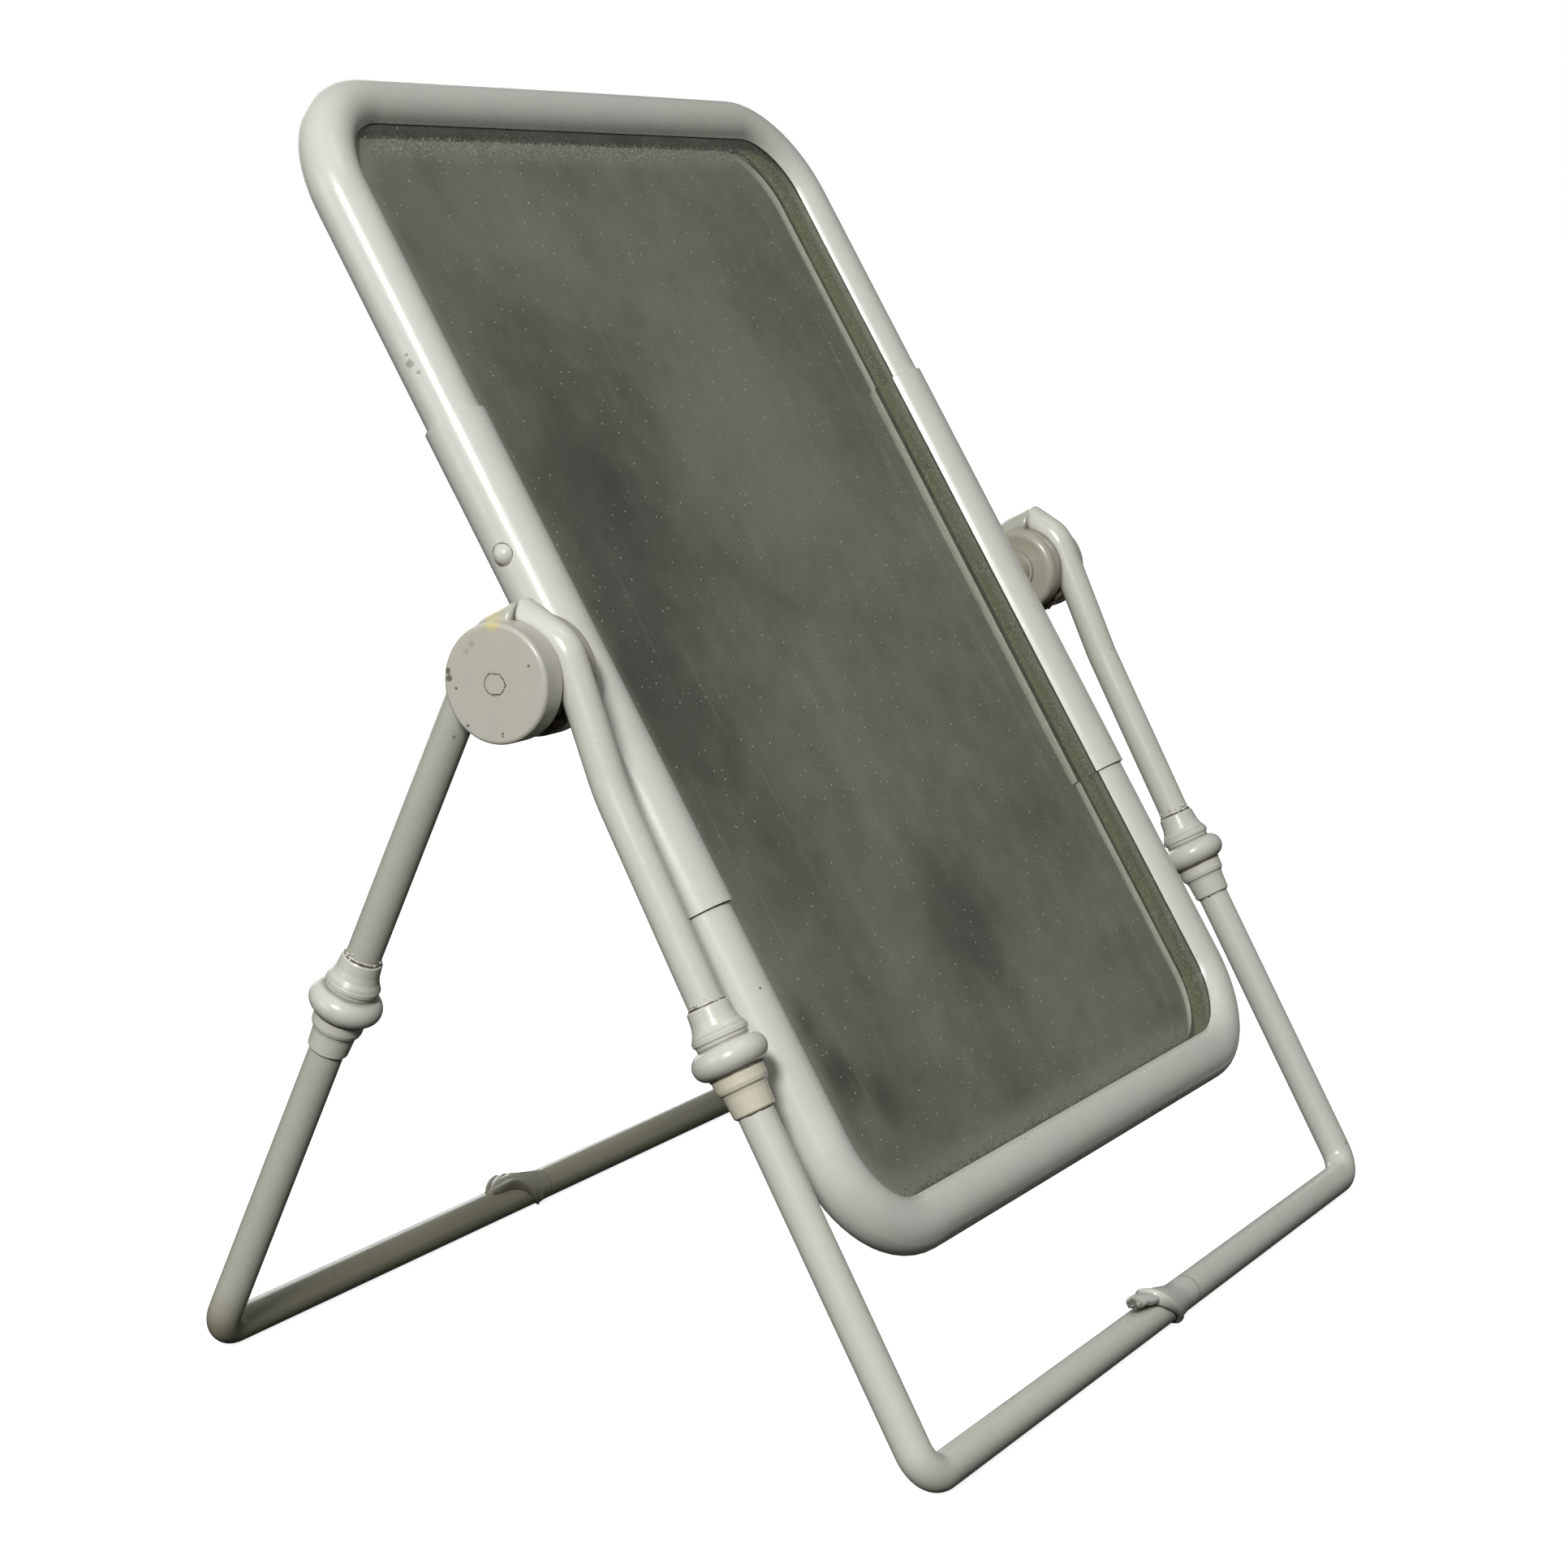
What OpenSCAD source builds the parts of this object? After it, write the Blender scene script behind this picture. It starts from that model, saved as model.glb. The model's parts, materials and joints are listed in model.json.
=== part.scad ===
// Tilting countertop mirror: a slit-tube framed glass hung between two folding tube legs.
// X runs along the pivot axis, -Y is the viewer's side, Z is up and the counter is Z = 0.

/* [Stand] */
// Diameter of the leg rods, leg tubes and floor bars
tube_d = 8; // [7:0.1:8.6]
// Wall of the hollow lower tubes
tube_wall = 1; // [0.8:0.1:1.4]
// Height of the pivot axis above the counter
pivot_h = 162.2; // [158:0.1:166]
// Distance between the centre lines of the two front legs
front_width = 254.8; // [254.2:0.1:255.4]
// Distance between the centre lines of the two rear legs
rear_width = 257.2; // [256.6:0.1:257.6]
// How far in front of the pivot the front floor bar lies
front_reach = 97.5; // [92:0.5:103]
// How far behind the pivot the rear floor bar lies
rear_reach = 84; // [78:0.5:90]
// Lean of the front lower tubes from upright, in degrees
front_lean = 29.5; // [28.5:0.1:30.5]
// Distance along a front leg from the floor bar to the middle of its collar
front_collar_at = 95.5; // [92:0.5:98]
// Distance along a rear leg from the floor bar to the middle of its collar
rear_collar_at = 91.3; // [88:0.5:94]
// Radius of the bend between a floor bar and a leg, at the centre line
foot_bend_r = 7; // [6:0.5:12]
// Radius of the bead in the middle of each collar
bead_r = 8.45; // [8:0.05:8.6]

/* [Hooks] */
// Distance from the pivot axis to the straight top of the front left rod
front_left_offset = 12.4; // [11.8:0.1:12.8]
// Lean of the top of the front left rod, in degrees
front_left_top_lean = 21; // [20:0.5:23]
// Distance from the pivot axis to the front right rod
front_right_offset = 10.8; // [10.6:0.1:11.4]
// Lean of the top of the front right rod, in degrees
front_right_top_lean = 24.5; // [23:0.5:26]
// Distance from the pivot axis to the rear rods
rear_offset = 10.6; // [10.5:0.1:11.2]
// Height of the front hook's end above the pivot axis
front_hook_h = 13.3; // [12.8:0.1:13.8]
// Height of the rear hook's end above the pivot axis
rear_hook_h = 12.3; // [12:0.1:12.8]
// Fall of the front hook from its end towards the leg, in degrees
front_hook_fall = 29; // [27:0.5:31]
// Fall of the rear hook from its end towards the leg, in degrees
rear_hook_fall = 26; // [25:0.5:28]
// Radius of the tight bend of each hook, at the centre line
hook_bend_r = 7.5; // [6:0.5:9]

/* [Pivot] */
// Radius of the outer drums
drum_r = 12.8; // [12:0.1:13.5]
// Distance from the middle of the object to the flat outer face of a drum
drum_face_x = 138; // [137.5:0.1:138.6]
// Radius of the drum's hub that the hooks bend round
hub_r = 6.1; // [5.6:0.1:6.2]
// Radius of the inner discs
disc_r = 12.9; // [12:0.1:13.5]
// Diameter of the pivot stud
stud_d = 4; // [3.6:0.1:4.2]
// Width across the flats of the stud's hexagonal end
stud_hex = 4.6; // [4.4:0.1:5]

/* [Mirror] */
// Tilt of the mirror from upright, top leaning back, in degrees
mirror_tilt = 31.5; // [0:0.5:60]
// Half the width of the frame, at the centre line of its tube
frame_half_w = 105.8; // [105.4:0.1:106]
// Half the height of the frame, at the centre line of its tube
frame_half_h = 139.7; // [136:0.1:143]
// Outer radius of the frame tube
frame_r = 6.35; // [6.2:0.05:6.4]
// Wall of the frame tube
frame_wall = 0.9; // [0.8:0.05:1]
// Width of the slit that holds the glass
slit_w = 5.2; // [5.1:0.1:5.6]
// Radius of the frame's corners, at the centre line
frame_corner_r = 23; // [20:0.5:26]
// Half the gap between the ends of the two frame halves inside a sleeve
frame_gap_half = 12.5; // [10:0.5:14]
// Outer radius of the sleeves
sleeve_r = 7.2; // [7.15:0.05:7.3]
// Half the length of a sleeve
sleeve_half = 60; // [55:1:65]
// Height of a sleeve screw above or below the pivot axis, along the frame
screw_at = 28; // [22:1:40]
// Thickness of the mirror glass
glass_t = 3; // [2.8:0.1:3]
// Thickness of the backing board
board_t = 1; // [0.8:0.1:1]
// Thickness of the back plate
plate_t = 0.8; // [0.6:0.1:0.8]

/* [Hidden] */
$fn = 96;
paint = [0.76, 0.76, 0.71];
steel = [0.55, 0.55, 0.55];
tube_r = tube_d / 2;
stud_r = stud_d / 2;
front_x = front_width / 2;
rear_x = rear_width / 2;
// a solid rod is this much fatter in its bends, and its straight runs reach this far into them
bend_swell = 0.03;
bend_lap = 0.3;
// running clearance round the stud
run_fit = 0.06;
// clearance of a fixed joint
snug = 0.02;
// flat faces of the pivot stack, counted along +X from the middle of the object
drum_back_x = rear_x + tube_r - 0.7;
disc_back_x = front_x - tube_r + 0.6;
disc_face_x = disc_back_x - 6.7;
washer_t = 0.8;
spacer_x = disc_face_x - washer_t - 0.2;
nut_t = 3;
nut_flats = 7;
nut_x = 107.65;
stud_end_x = nut_x - 0.5;
hex_depth = 3;
// the rear legs are straight from foot to hook, tangent to a circle of rear_offset
rear_lean = atan2(rear_reach, pivot_h - tube_r)
    - asin(rear_offset / norm([rear_reach, pivot_h - tube_r]));
// height below the pivot axis where a front rod bends to its top lean
front_knee_z = -22;
// radius of that slight bend
knee_bend_r = 60;
// depth of a rod's end below the middle of its collar
butt_gap = 0.2;
// half the gap between the front and rear hooks, and how far each runs on before it is cut off
hook_gap_half = 0.08;
hook_excess = 3;
collar_top = 11.5;
collar_foot = 12.4;
bead_half = 3.2;
// the collar's two halves start this far from the middle of the bead, which joins them
bead_inset = 0.5;
// the ends of rod and tube meet in a chamber a little wider than they are
chamber_r = tube_r + 0.5;
// the glass, board and plate reach this far into the tube, past its centre line
edge_in = 2.2;
glass_front = slit_w / 2 - 0.3;
spacer_r = 5;
washer_r = 5.5;
// sleeve screws: shank, and a domed head whose rim comes this far down the sleeve's round back
screw_r = 1.2;
head_r = 2.5;
head_h = 1.9;
head_seat = 0.5;
// swollen socket where the halves of a floor bar join, and where along X each joint lies
socket_r = tube_r + 1.1;
socket_rise = socket_r - tube_r + 0.3;
socket_depth = 5;
socket_cone = 6;
socket_tongue = 15;
front_joint_x = 0;
rear_joint_x = -5;

// ---- points of the legs, as [distance out from the pivot axis, height above it] ----

function unit(v) = v / norm(v);
function out_dir(lean) = [sin(lean), -cos(lean)];
function front_foot() = [front_reach, tube_r - pivot_h];
function rear_foot() = [rear_reach, tube_r - pivot_h];
function front_bead() = front_foot() - out_dir(front_lean) * front_collar_at;
function rear_bead() = rear_foot() - out_dir(rear_lean) * rear_collar_at;

// the point at height z on the line that leans by lean and passes at offset from the pivot axis
function on_line(offset, lean, z) = [(offset - z * sin(lean)) / cos(lean), z];

// where the hook's straight top, falling from height h at the apex, meets that line
function hook_corner(h, fall, offset, lean) =
    let (out = (offset - h * sin(lean)) / (cos(lean) - tan(fall) * sin(lean)))
    [out, h - out * tan(fall)];

// ---- bent tubes ----

// ring or disc that a tube is swept from
module tube_section(outer, inner) {
    difference() {
        circle(r = outer);
        if (inner > 0) circle(r = inner);
    }
}

// angle that a path turns through at b, on its way from a to c
function turn_at(a, b, c) =
    let (p = unit(b - a), q = unit(c - b))
    atan2(p.x * q.y - p.y * q.x, p * q);

// length of straight that a bend of radius r takes from each side of its corner
function bend_cut(a, b, c, r) = r * tan(abs(turn_at(a, b, c)) / 2);

// bend that starts at the origin along +X and turns towards +Y
module bend(turn, r, outer, inner) {
    translate([0, r, 0])
        rotate([0, 0, -90])
            rotate_extrude(angle = turn)
                translate([r, 0])
                    tube_section(outer, inner);
}

// straight runs and bends in turn, each placed at the end of the one before, from the origin along +X;
// a solid rod swells a little at its bends, and its runs reach a little way into them
module tube_chain(runs, turns, radii, outer, inner, i = 0, flip = 1) {
    lap = inner > 0 ? 0 : bend_lap;
    before = i == 0 ? 0 : lap;
    after = i == len(turns) ? 0 : lap;
    translate([-before, 0, 0])
        rotate([0, 90, 0])
            linear_extrude(before + runs[i] + after)
                tube_section(outer, inner);
    if (i < len(turns)) {
        turn = turns[i] * flip;
        side = turn < 0 ? -1 : 1;
        translate([runs[i], 0, 0])
            mirror([0, side < 0 ? 1 : 0, 0]) {
                bend(abs(turn), radii[i], inner > 0 ? outer : outer + bend_swell, inner);
                translate([0, radii[i], 0])
                    rotate([0, 0, abs(turn)])
                        translate([0, -radii[i], 0])
                            tube_chain(runs, turns, radii, outer, inner, i + 1, flip * side);
            }
    }
}

// tube along a path of corners in the XY plane, each inner corner rounded by its own radius
module bent_tube(path, radii, outer, inner = 0) {
    last = len(path) - 1;
    cuts = [
        for (i = [0 : last])
            i == 0 || i == last ? 0 : bend_cut(path[i - 1], path[i], path[i + 1], radii[i - 1])
    ];
    runs = [for (i = [0 : last - 1]) norm(path[i + 1] - path[i]) - cuts[i] - cuts[i + 1]];
    turns = [for (i = [1 : last - 1]) turn_at(path[i - 1], path[i], path[i + 1])];
    first = path[1] - path[0];
    translate([path[0].x, path[0].y, 0])
        rotate([0, 0, atan2(first.y, first.x)])
            tube_chain(runs, turns, radii, outer, inner);
}

// ---- placing ----

// turns [out, up] drawings into the upright plane at x, with out towards the front or the rear
module leg_plane(x, facing) {
    translate([x, 0, pivot_h])
        rotate([90, 0, facing * 90])
            children();
}

// puts +Z along a leg, upwards, with the origin at a point [out, up] of that leg
module on_leg(x, facing, point, lean) {
    translate([x, facing * point.x, pivot_h + point.y])
        rotate([facing * lean, 0, 0])
            children();
}

// puts +Z outwards along the pivot axis, with the origin on the object's middle plane
module on_axis(side) {
    translate([0, 0, pivot_h])
        rotate([0, side * 90, 0])
            children();
}

// the mirror's own frame: X across, Z up along the glass, -Y out of its face
module on_mirror() {
    translate([0, 0, pivot_h])
        rotate([-mirror_tilt, 0, 0])
            children();
}

// ---- stand ----

// rod from a collar over the pivot, its hook cut off upright so that it butts against the other one
module upper_rod(x, facing, bead, path, radii) {
    start = bead + unit(path[0] - bead) * butt_gap;
    color(paint)
        leg_plane(x, facing)
            difference() {
                bent_tube(concat([start], path), radii, tube_r);
                translate([hook_gap_half - 20, 0, -10])
                    cube([20, 40, 20]);
            }
}

// where a hook's centre line ends, past the apex, before it is cut off
function hook_end(h, fall) = [-hook_excess, h + hook_excess * tan(fall)];

// front rod: slight bend at the knee, tight bend over the hub, flat end at the apex
module front_rod(side, offset, top_lean) {
    corner = hook_corner(front_hook_h, front_hook_fall, offset, top_lean);
    path = [on_line(offset, top_lean, front_knee_z), corner, hook_end(front_hook_h, front_hook_fall)];
    upper_rod(side * front_x, -1, front_bead(), path, [knee_bend_r, hook_bend_r]);
}

module rear_rod(side) {
    corner = hook_corner(rear_hook_h, rear_hook_fall, rear_offset, rear_lean);
    path = [corner, hook_end(rear_hook_h, rear_hook_fall)];
    upper_rod(side * rear_x, 1, rear_bead(), path, [hook_bend_r]);
}

// half of the collar's outline above the bead: cone, lip and groove
module collar_top_outline() {
    polygon([
        [0, bead_inset],
        [bead_r - bead_half, bead_inset],
        [tube_r + 1.8, bead_half],
        [tube_r + 1.85, 4.1],
        [tube_r + 2.25, 4.5],
        [tube_r + 2.3, 5.3],
        [tube_r + 1.95, 6],
        [tube_r + 1.3, 7.2],
        [tube_r + 0.95, 8.6],
        [tube_r + 0.7, collar_top - 0.3],
        [tube_r + 0.5, collar_top],
        [0, collar_top],
    ]);
}

// half of the collar's outline below the bead: ring, step and taper
module collar_foot_outline() {
    polygon([
        [0, -bead_inset],
        [bead_r - bead_half, -bead_inset],
        [tube_r + 1.9, -bead_half],
        [tube_r + 1.85, -5.9],
        [tube_r + 1.6, -6.7],
        [tube_r + 1.15, -7.1],
        [tube_r + 0.95, -8],
        [tube_r + 0.7, -collar_foot + 0.3],
        [tube_r + 0.5, -collar_foot],
        [0, -collar_foot],
    ]);
}

module collar_bead() {
    rotate_extrude()
        translate([bead_r - bead_half, 0])
            circle(r = bead_half);
}

// turned collar over the butt joint of a rod and a lower tube
module collar(x, facing, bead, foot_lean, top_lean) {
    color(paint)
        difference() {
            union() {
                on_leg(x, facing, bead, foot_lean) {
                    rotate_extrude() collar_foot_outline();
                    collar_bead();
                }
                on_leg(x, facing, bead, top_lean)
                    rotate_extrude() collar_top_outline();
            }
            on_leg(x, facing, bead, foot_lean) {
                translate([0, 0, -2 * collar_foot])
                    cylinder(r = tube_r + snug, h = 2 * collar_foot - bead_inset);
                cylinder(r = chamber_r, h = 4 * bead_inset, center = true);
            }
            on_leg(x, facing, bead, top_lean)
                translate([0, 0, bead_inset])
                    cylinder(r = tube_r + snug, h = 2 * collar_top);
        }
}

function rod_lean(bead, point) = atan2(bead.x - point.x, point.y - bead.y);

module front_collar(side, offset, top_lean) {
    lean = rod_lean(front_bead(), on_line(offset, top_lean, front_knee_z));
    collar(side * front_x, -1, front_bead(), front_lean, lean);
}

module rear_collar(side) {
    collar(side * rear_x, 1, rear_bead(), rear_lean, rear_lean);
}

// half of a floor bar and the lower part of its leg, bent from one tube
module lower_tube(side, facing, x, reach, lean, collar_at, inner_end) {
    path = [[inner_end, 0], [x, 0], [x, collar_at - butt_gap]];
    translate([0, facing * reach, tube_r])
        rotate([90 + facing * lean, 0, 0])
            mirror([side < 0 ? 1 : 0, 0, 0])
                bent_tube(path, [foot_bend_r], tube_r, tube_r - tube_wall);
}

// outline, seen from the front, of what the slanted mouth of a socket cuts away
module mouth_cut(mouth, tongue) {
    low = -tube_r - 1;
    high = 2 * socket_r - tube_r + 0.5;
    rotate([90, 0, 0])
        linear_extrude(40, center = true)
            polygon([
                [mouth, low],
                [mouth, -tube_r],
                [mouth - tongue, high],
                [mouth - tongue - 5, high],
                [mouth - tongue - 5, low],
            ]);
}

// half outline of a socket, along the bar from its tongue's tip to the end of its cone
module socket_outline(from, to) {
    polygon([
        [0, from],
        [socket_r, from],
        [socket_r, to],
        [tube_r - socket_rise - 0.2, to + socket_cone],
        [0, to + socket_cone],
    ]);
}

// swollen end of a right-hand tube: open underneath, where the bar shows, and cut to a tongue on top
module flared_socket(joint_x) {
    mouth = joint_x + 1;
    bottom = joint_x + socket_depth;
    difference() {
        translate([0, 0, socket_rise])
            rotate([0, 90, 0])
                rotate_extrude()
                    socket_outline(mouth - socket_tongue, bottom);
        translate([mouth - 2 * socket_tongue, 0, 0])
            rotate([0, 90, 0])
                cylinder(r = tube_r + snug, h = bottom - mouth + 2 * socket_tongue);
        translate([bottom - 1, 0, 0])
            rotate([0, 90, 0])
                cylinder(r = tube_r - tube_wall / 2, h = 2 * socket_cone);
        mouth_cut(mouth, socket_tongue);
    }
}

// left half of a stand's foot: its bar ends inside the right half's socket
module left_lower_tube(facing, x, reach, lean, collar_at, joint_x) {
    color(paint)
        lower_tube(-1, facing, x, reach, lean, collar_at, -joint_x - socket_depth);
}

// right half of a stand's foot, with the socket at the end of its bar
module right_lower_tube(facing, x, reach, lean, collar_at, joint_x) {
    color(paint) {
        lower_tube(1, facing, x, reach, lean, collar_at, joint_x + socket_depth + 0.3);
        translate([0, facing * reach, tube_r])
            flared_socket(joint_x);
    }
}

// ---- pivot ----

// half outline of a disc of radius r and height h whose far rim is rounded
module rounded_disc_outline(r, h, edge) {
    square([r - edge, h]);
    square([r, h - edge]);
    translate([r - edge, h - edge])
        intersection() {
            circle(r = edge);
            square(edge);
        }
}

// outer drum with the hub that the hooks bend round, and a hexagonal seat for the stud
module outer_drum(side) {
    thick = drum_face_x - drum_back_x;
    color(paint)
        on_axis(side)
            difference() {
                union() {
                    translate([0, 0, drum_back_x])
                        rotate_extrude()
                            rounded_disc_outline(drum_r, thick, 0.9);
                    translate([0, 0, disc_back_x + 0.3])
                        cylinder(r = hub_r, h = drum_back_x - disc_back_x);
                }
                cylinder(r = stud_r + snug, h = drum_face_x);
                translate([0, 0, drum_face_x - hex_depth])
                    cylinder(d = (stud_hex + 2 * run_fit) / cos(30), h = 2 * hex_depth, $fn = 6);
            }
}

// inner disc, rounded on the rim that faces the mirror
module inner_disc(side) {
    color(paint)
        on_axis(side)
            difference() {
                translate([0, 0, disc_back_x])
                    mirror([0, 0, 1])
                        rotate_extrude()
                            rounded_disc_outline(disc_r, disc_back_x - disc_face_x, 1.8);
                cylinder(r = stud_r + run_fit, h = drum_face_x);
            }
}

module pivot_stud(side) {
    color(paint)
        on_axis(side) {
            translate([0, 0, stud_end_x])
                cylinder(r = stud_r, h = drum_face_x - hex_depth / 2 - stud_end_x);
            translate([0, 0, drum_face_x - hex_depth + run_fit])
                cylinder(d = stud_hex / cos(30), h = hex_depth - run_fit, $fn = 6);
        }
}

module pivot_nut(side) {
    color(steel)
        on_axis(side)
            translate([0, 0, nut_x])
                difference() {
                    cylinder(d = nut_flats / cos(30), h = nut_t, $fn = 6);
                    translate([0, 0, -1])
                        cylinder(r = stud_r + snug, h = nut_t + 2);
                }
}

// short tube between the sleeve and the washer, saddled to the sleeve's round back
module pivot_spacer(side) {
    color(paint)
        difference() {
            on_axis(side)
                translate([0, 0, frame_half_w])
                    difference() {
                        cylinder(r = spacer_r, h = spacer_x - frame_half_w);
                        cylinder(r = stud_r + run_fit, h = spacer_x);
                    }
            on_mirror()
                translate([side * frame_half_w, 0, -2 * spacer_r])
                    cylinder(r = sleeve_r, h = 4 * spacer_r);
        }
}

module friction_washer(side) {
    color(steel)
        on_axis(side)
            translate([0, 0, spacer_x])
                difference() {
                    cylinder(r = washer_r, h = washer_t);
                    translate([0, 0, -1])
                        cylinder(r = stud_r + run_fit, h = washer_t + 2);
                }
}

// ---- mirror ----

// section of the slit tube, slit towards -X
module slit_section(outer, inner) {
    difference() {
        circle(r = outer);
        circle(r = inner);
        translate([-2 * outer, -slit_w / 2])
            square([2 * outer, slit_w]);
    }
}

// upright of the frame on the +X side, from height low to height high
module frame_upright(low, high, outer, inner) {
    translate([frame_half_w, 0, low])
        linear_extrude(high - low)
            slit_section(outer, inner);
}

// bore through the sleeve and tube walls for one screw
module screw_hole(side, up) {
    translate([side * frame_half_w, 0, up])
        rotate([0, side * 90, 0])
            cylinder(r = screw_r + 0.05, h = 2 * sleeve_r);
}

// one bent half of the frame, drawn as the upper one
module half_frame() {
    inner = frame_r - frame_wall;
    corner_x = frame_half_w - frame_corner_r;
    corner_z = frame_half_h - frame_corner_r;
    for (side = [-1, 1])
        mirror([side < 0 ? 1 : 0, 0, 0]) {
            difference() {
                frame_upright(frame_gap_half, corner_z, frame_r, inner);
                screw_hole(1, screw_at);
            }
            translate([corner_x, 0, corner_z])
                rotate([90, 0, 0])
                    rotate_extrude(angle = 90)
                        translate([frame_corner_r, 0])
                            slit_section(frame_r, inner);
        }
    translate([-corner_x, 0, frame_half_h])
        rotate([0, 90, 0])
            linear_extrude(2 * corner_x)
                rotate([0, 0, 180])
                    slit_section(frame_r, inner);
}

module upper_frame() {
    color(paint)
        on_mirror()
            half_frame();
}

module lower_frame() {
    color(paint)
        on_mirror()
            rotate([0, 180, 0])
                half_frame();
}

// slit sleeve over the ends of both frame halves, bored for the stud and two screws
module sleeve(side) {
    color(paint)
        on_mirror()
            mirror([side < 0 ? 1 : 0, 0, 0])
                difference() {
                    frame_upright(-sleeve_half, sleeve_half, sleeve_r, frame_r + snug);
                    for (up = [-screw_at, screw_at])
                        screw_hole(1, up);
                    rotate([0, 90, 0])
                        cylinder(r = stud_r + run_fit, h = drum_face_x);
                }
}

// round-headed screw whose head sits on the sleeve at +X, saddled to its round back
module sleeve_screw() {
    dome_r = (head_r * head_r + head_h * head_h) / (2 * head_h);
    difference() {
        translate([frame_half_w + sleeve_r - head_seat, 0, 0])
            rotate([0, 90, 0])
                intersection() {
                    translate([0, 0, head_h - dome_r])
                        sphere(r = dome_r);
                    cylinder(r = head_r, h = head_h);
                }
        translate([frame_half_w, 0, -2 * head_r])
            cylinder(r = sleeve_r + 0.01, h = 4 * head_r);
    }
    translate([frame_half_w + frame_r - frame_wall - 1.2, 0, 0])
        rotate([0, 90, 0])
            cylinder(r = screw_r, h = 3.2);
}

module sleeve_screws() {
    color(paint)
        on_mirror()
            for (side = [0, 1], up = [-screw_at, screw_at])
                translate([0, 0, up])
                    mirror([side, 0, 0])
                        sleeve_screw();
}

// sheet of thickness t whose front face lies front ahead of the frame's centre plane
module sheet(t, front) {
    w = frame_half_w - edge_in;
    h = frame_half_h - edge_in;
    r = frame_corner_r - edge_in;
    translate([0, t - front, 0])
        rotate([90, 0, 0])
            linear_extrude(t) {
                square([2 * (w - r), 2 * h], center = true);
                square([2 * w, 2 * (h - r)], center = true);
                for (sx = [-1, 1], sz = [-1, 1])
                    translate([sx * (w - r), sz * (h - r)])
                        circle(r = r);
            }
}

module mirror_glass() {
    color("silver")
        on_mirror()
            sheet(glass_t, glass_front);
}

module backing_board() {
    color("tan")
        on_mirror()
            sheet(board_t, glass_front - glass_t);
}

module back_plate() {
    color(paint)
        on_mirror()
            sheet(plate_t, glass_front - glass_t - board_t);
}

module front_left_lower_tube() {
    left_lower_tube(-1, front_x, front_reach, front_lean, front_collar_at, front_joint_x);
}

module front_right_lower_tube() {
    right_lower_tube(-1, front_x, front_reach, front_lean, front_collar_at, front_joint_x);
}

module rear_left_lower_tube() {
    left_lower_tube(1, rear_x, rear_reach, rear_lean, rear_collar_at, rear_joint_x);
}

module rear_right_lower_tube() {
    right_lower_tube(1, rear_x, rear_reach, rear_lean, rear_collar_at, rear_joint_x);
}

front_rod(-1, front_left_offset, front_left_top_lean);  // front_left_upper_rod
front_rod(1, front_right_offset, front_right_top_lean);  // front_right_upper_rod
front_collar(-1, front_left_offset, front_left_top_lean);  // front_left_collar
front_collar(1, front_right_offset, front_right_top_lean);  // front_right_collar
front_left_lower_tube();
front_right_lower_tube();
inner_disc(-1);  // left_inner_disc
inner_disc(1);  // right_inner_disc
rear_rod(-1);  // rear_left_upper_rod
rear_rod(1);  // rear_right_upper_rod
rear_collar(-1);  // rear_left_collar
rear_collar(1);  // rear_right_collar
rear_left_lower_tube();
rear_right_lower_tube();
outer_drum(-1);  // left_outer_drum
outer_drum(1);  // right_outer_drum
pivot_stud(-1);  // left_pivot_stud
pivot_stud(1);  // right_pivot_stud
pivot_nut(-1);  // left_pivot_nut
pivot_nut(1);  // right_pivot_nut
upper_frame();
lower_frame();
sleeve(-1);  // left_sleeve
sleeve(1);  // right_sleeve
sleeve_screws();
pivot_spacer(-1);  // left_pivot_spacer
pivot_spacer(1);  // right_pivot_spacer
friction_washer(-1);  // left_friction_washer
friction_washer(1);  // right_friction_washer
mirror_glass();
backing_board();
back_plate();
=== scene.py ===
"""Looks of the tilting countertop mirror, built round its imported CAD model.

Metres, +Z up, -Y towards the user. Names in capitals are in millimetres where they are lengths.
"""

import json
import math

import bmesh
import bpy
import numpy as np
from mathutils import Matrix, Vector


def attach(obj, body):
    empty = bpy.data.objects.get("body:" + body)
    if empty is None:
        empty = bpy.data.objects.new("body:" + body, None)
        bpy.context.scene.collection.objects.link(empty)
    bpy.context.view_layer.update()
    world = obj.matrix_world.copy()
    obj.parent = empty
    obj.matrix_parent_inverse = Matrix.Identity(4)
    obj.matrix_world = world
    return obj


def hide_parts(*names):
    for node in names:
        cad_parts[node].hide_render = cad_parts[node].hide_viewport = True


MM = 0.001
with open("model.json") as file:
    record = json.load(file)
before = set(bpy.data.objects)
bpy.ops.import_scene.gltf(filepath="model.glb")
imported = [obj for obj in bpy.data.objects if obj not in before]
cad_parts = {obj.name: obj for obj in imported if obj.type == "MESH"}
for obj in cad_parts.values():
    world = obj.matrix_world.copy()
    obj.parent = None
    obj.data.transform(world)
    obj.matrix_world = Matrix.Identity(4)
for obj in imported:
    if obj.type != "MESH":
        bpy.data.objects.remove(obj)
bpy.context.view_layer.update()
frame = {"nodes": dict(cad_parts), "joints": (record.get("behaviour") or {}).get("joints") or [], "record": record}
scene = bpy.context.scene
nodes = frame["nodes"]
rng = np.random.default_rng(7)

# ---- where things are, in millimetres, as in the CAD source ----

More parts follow.
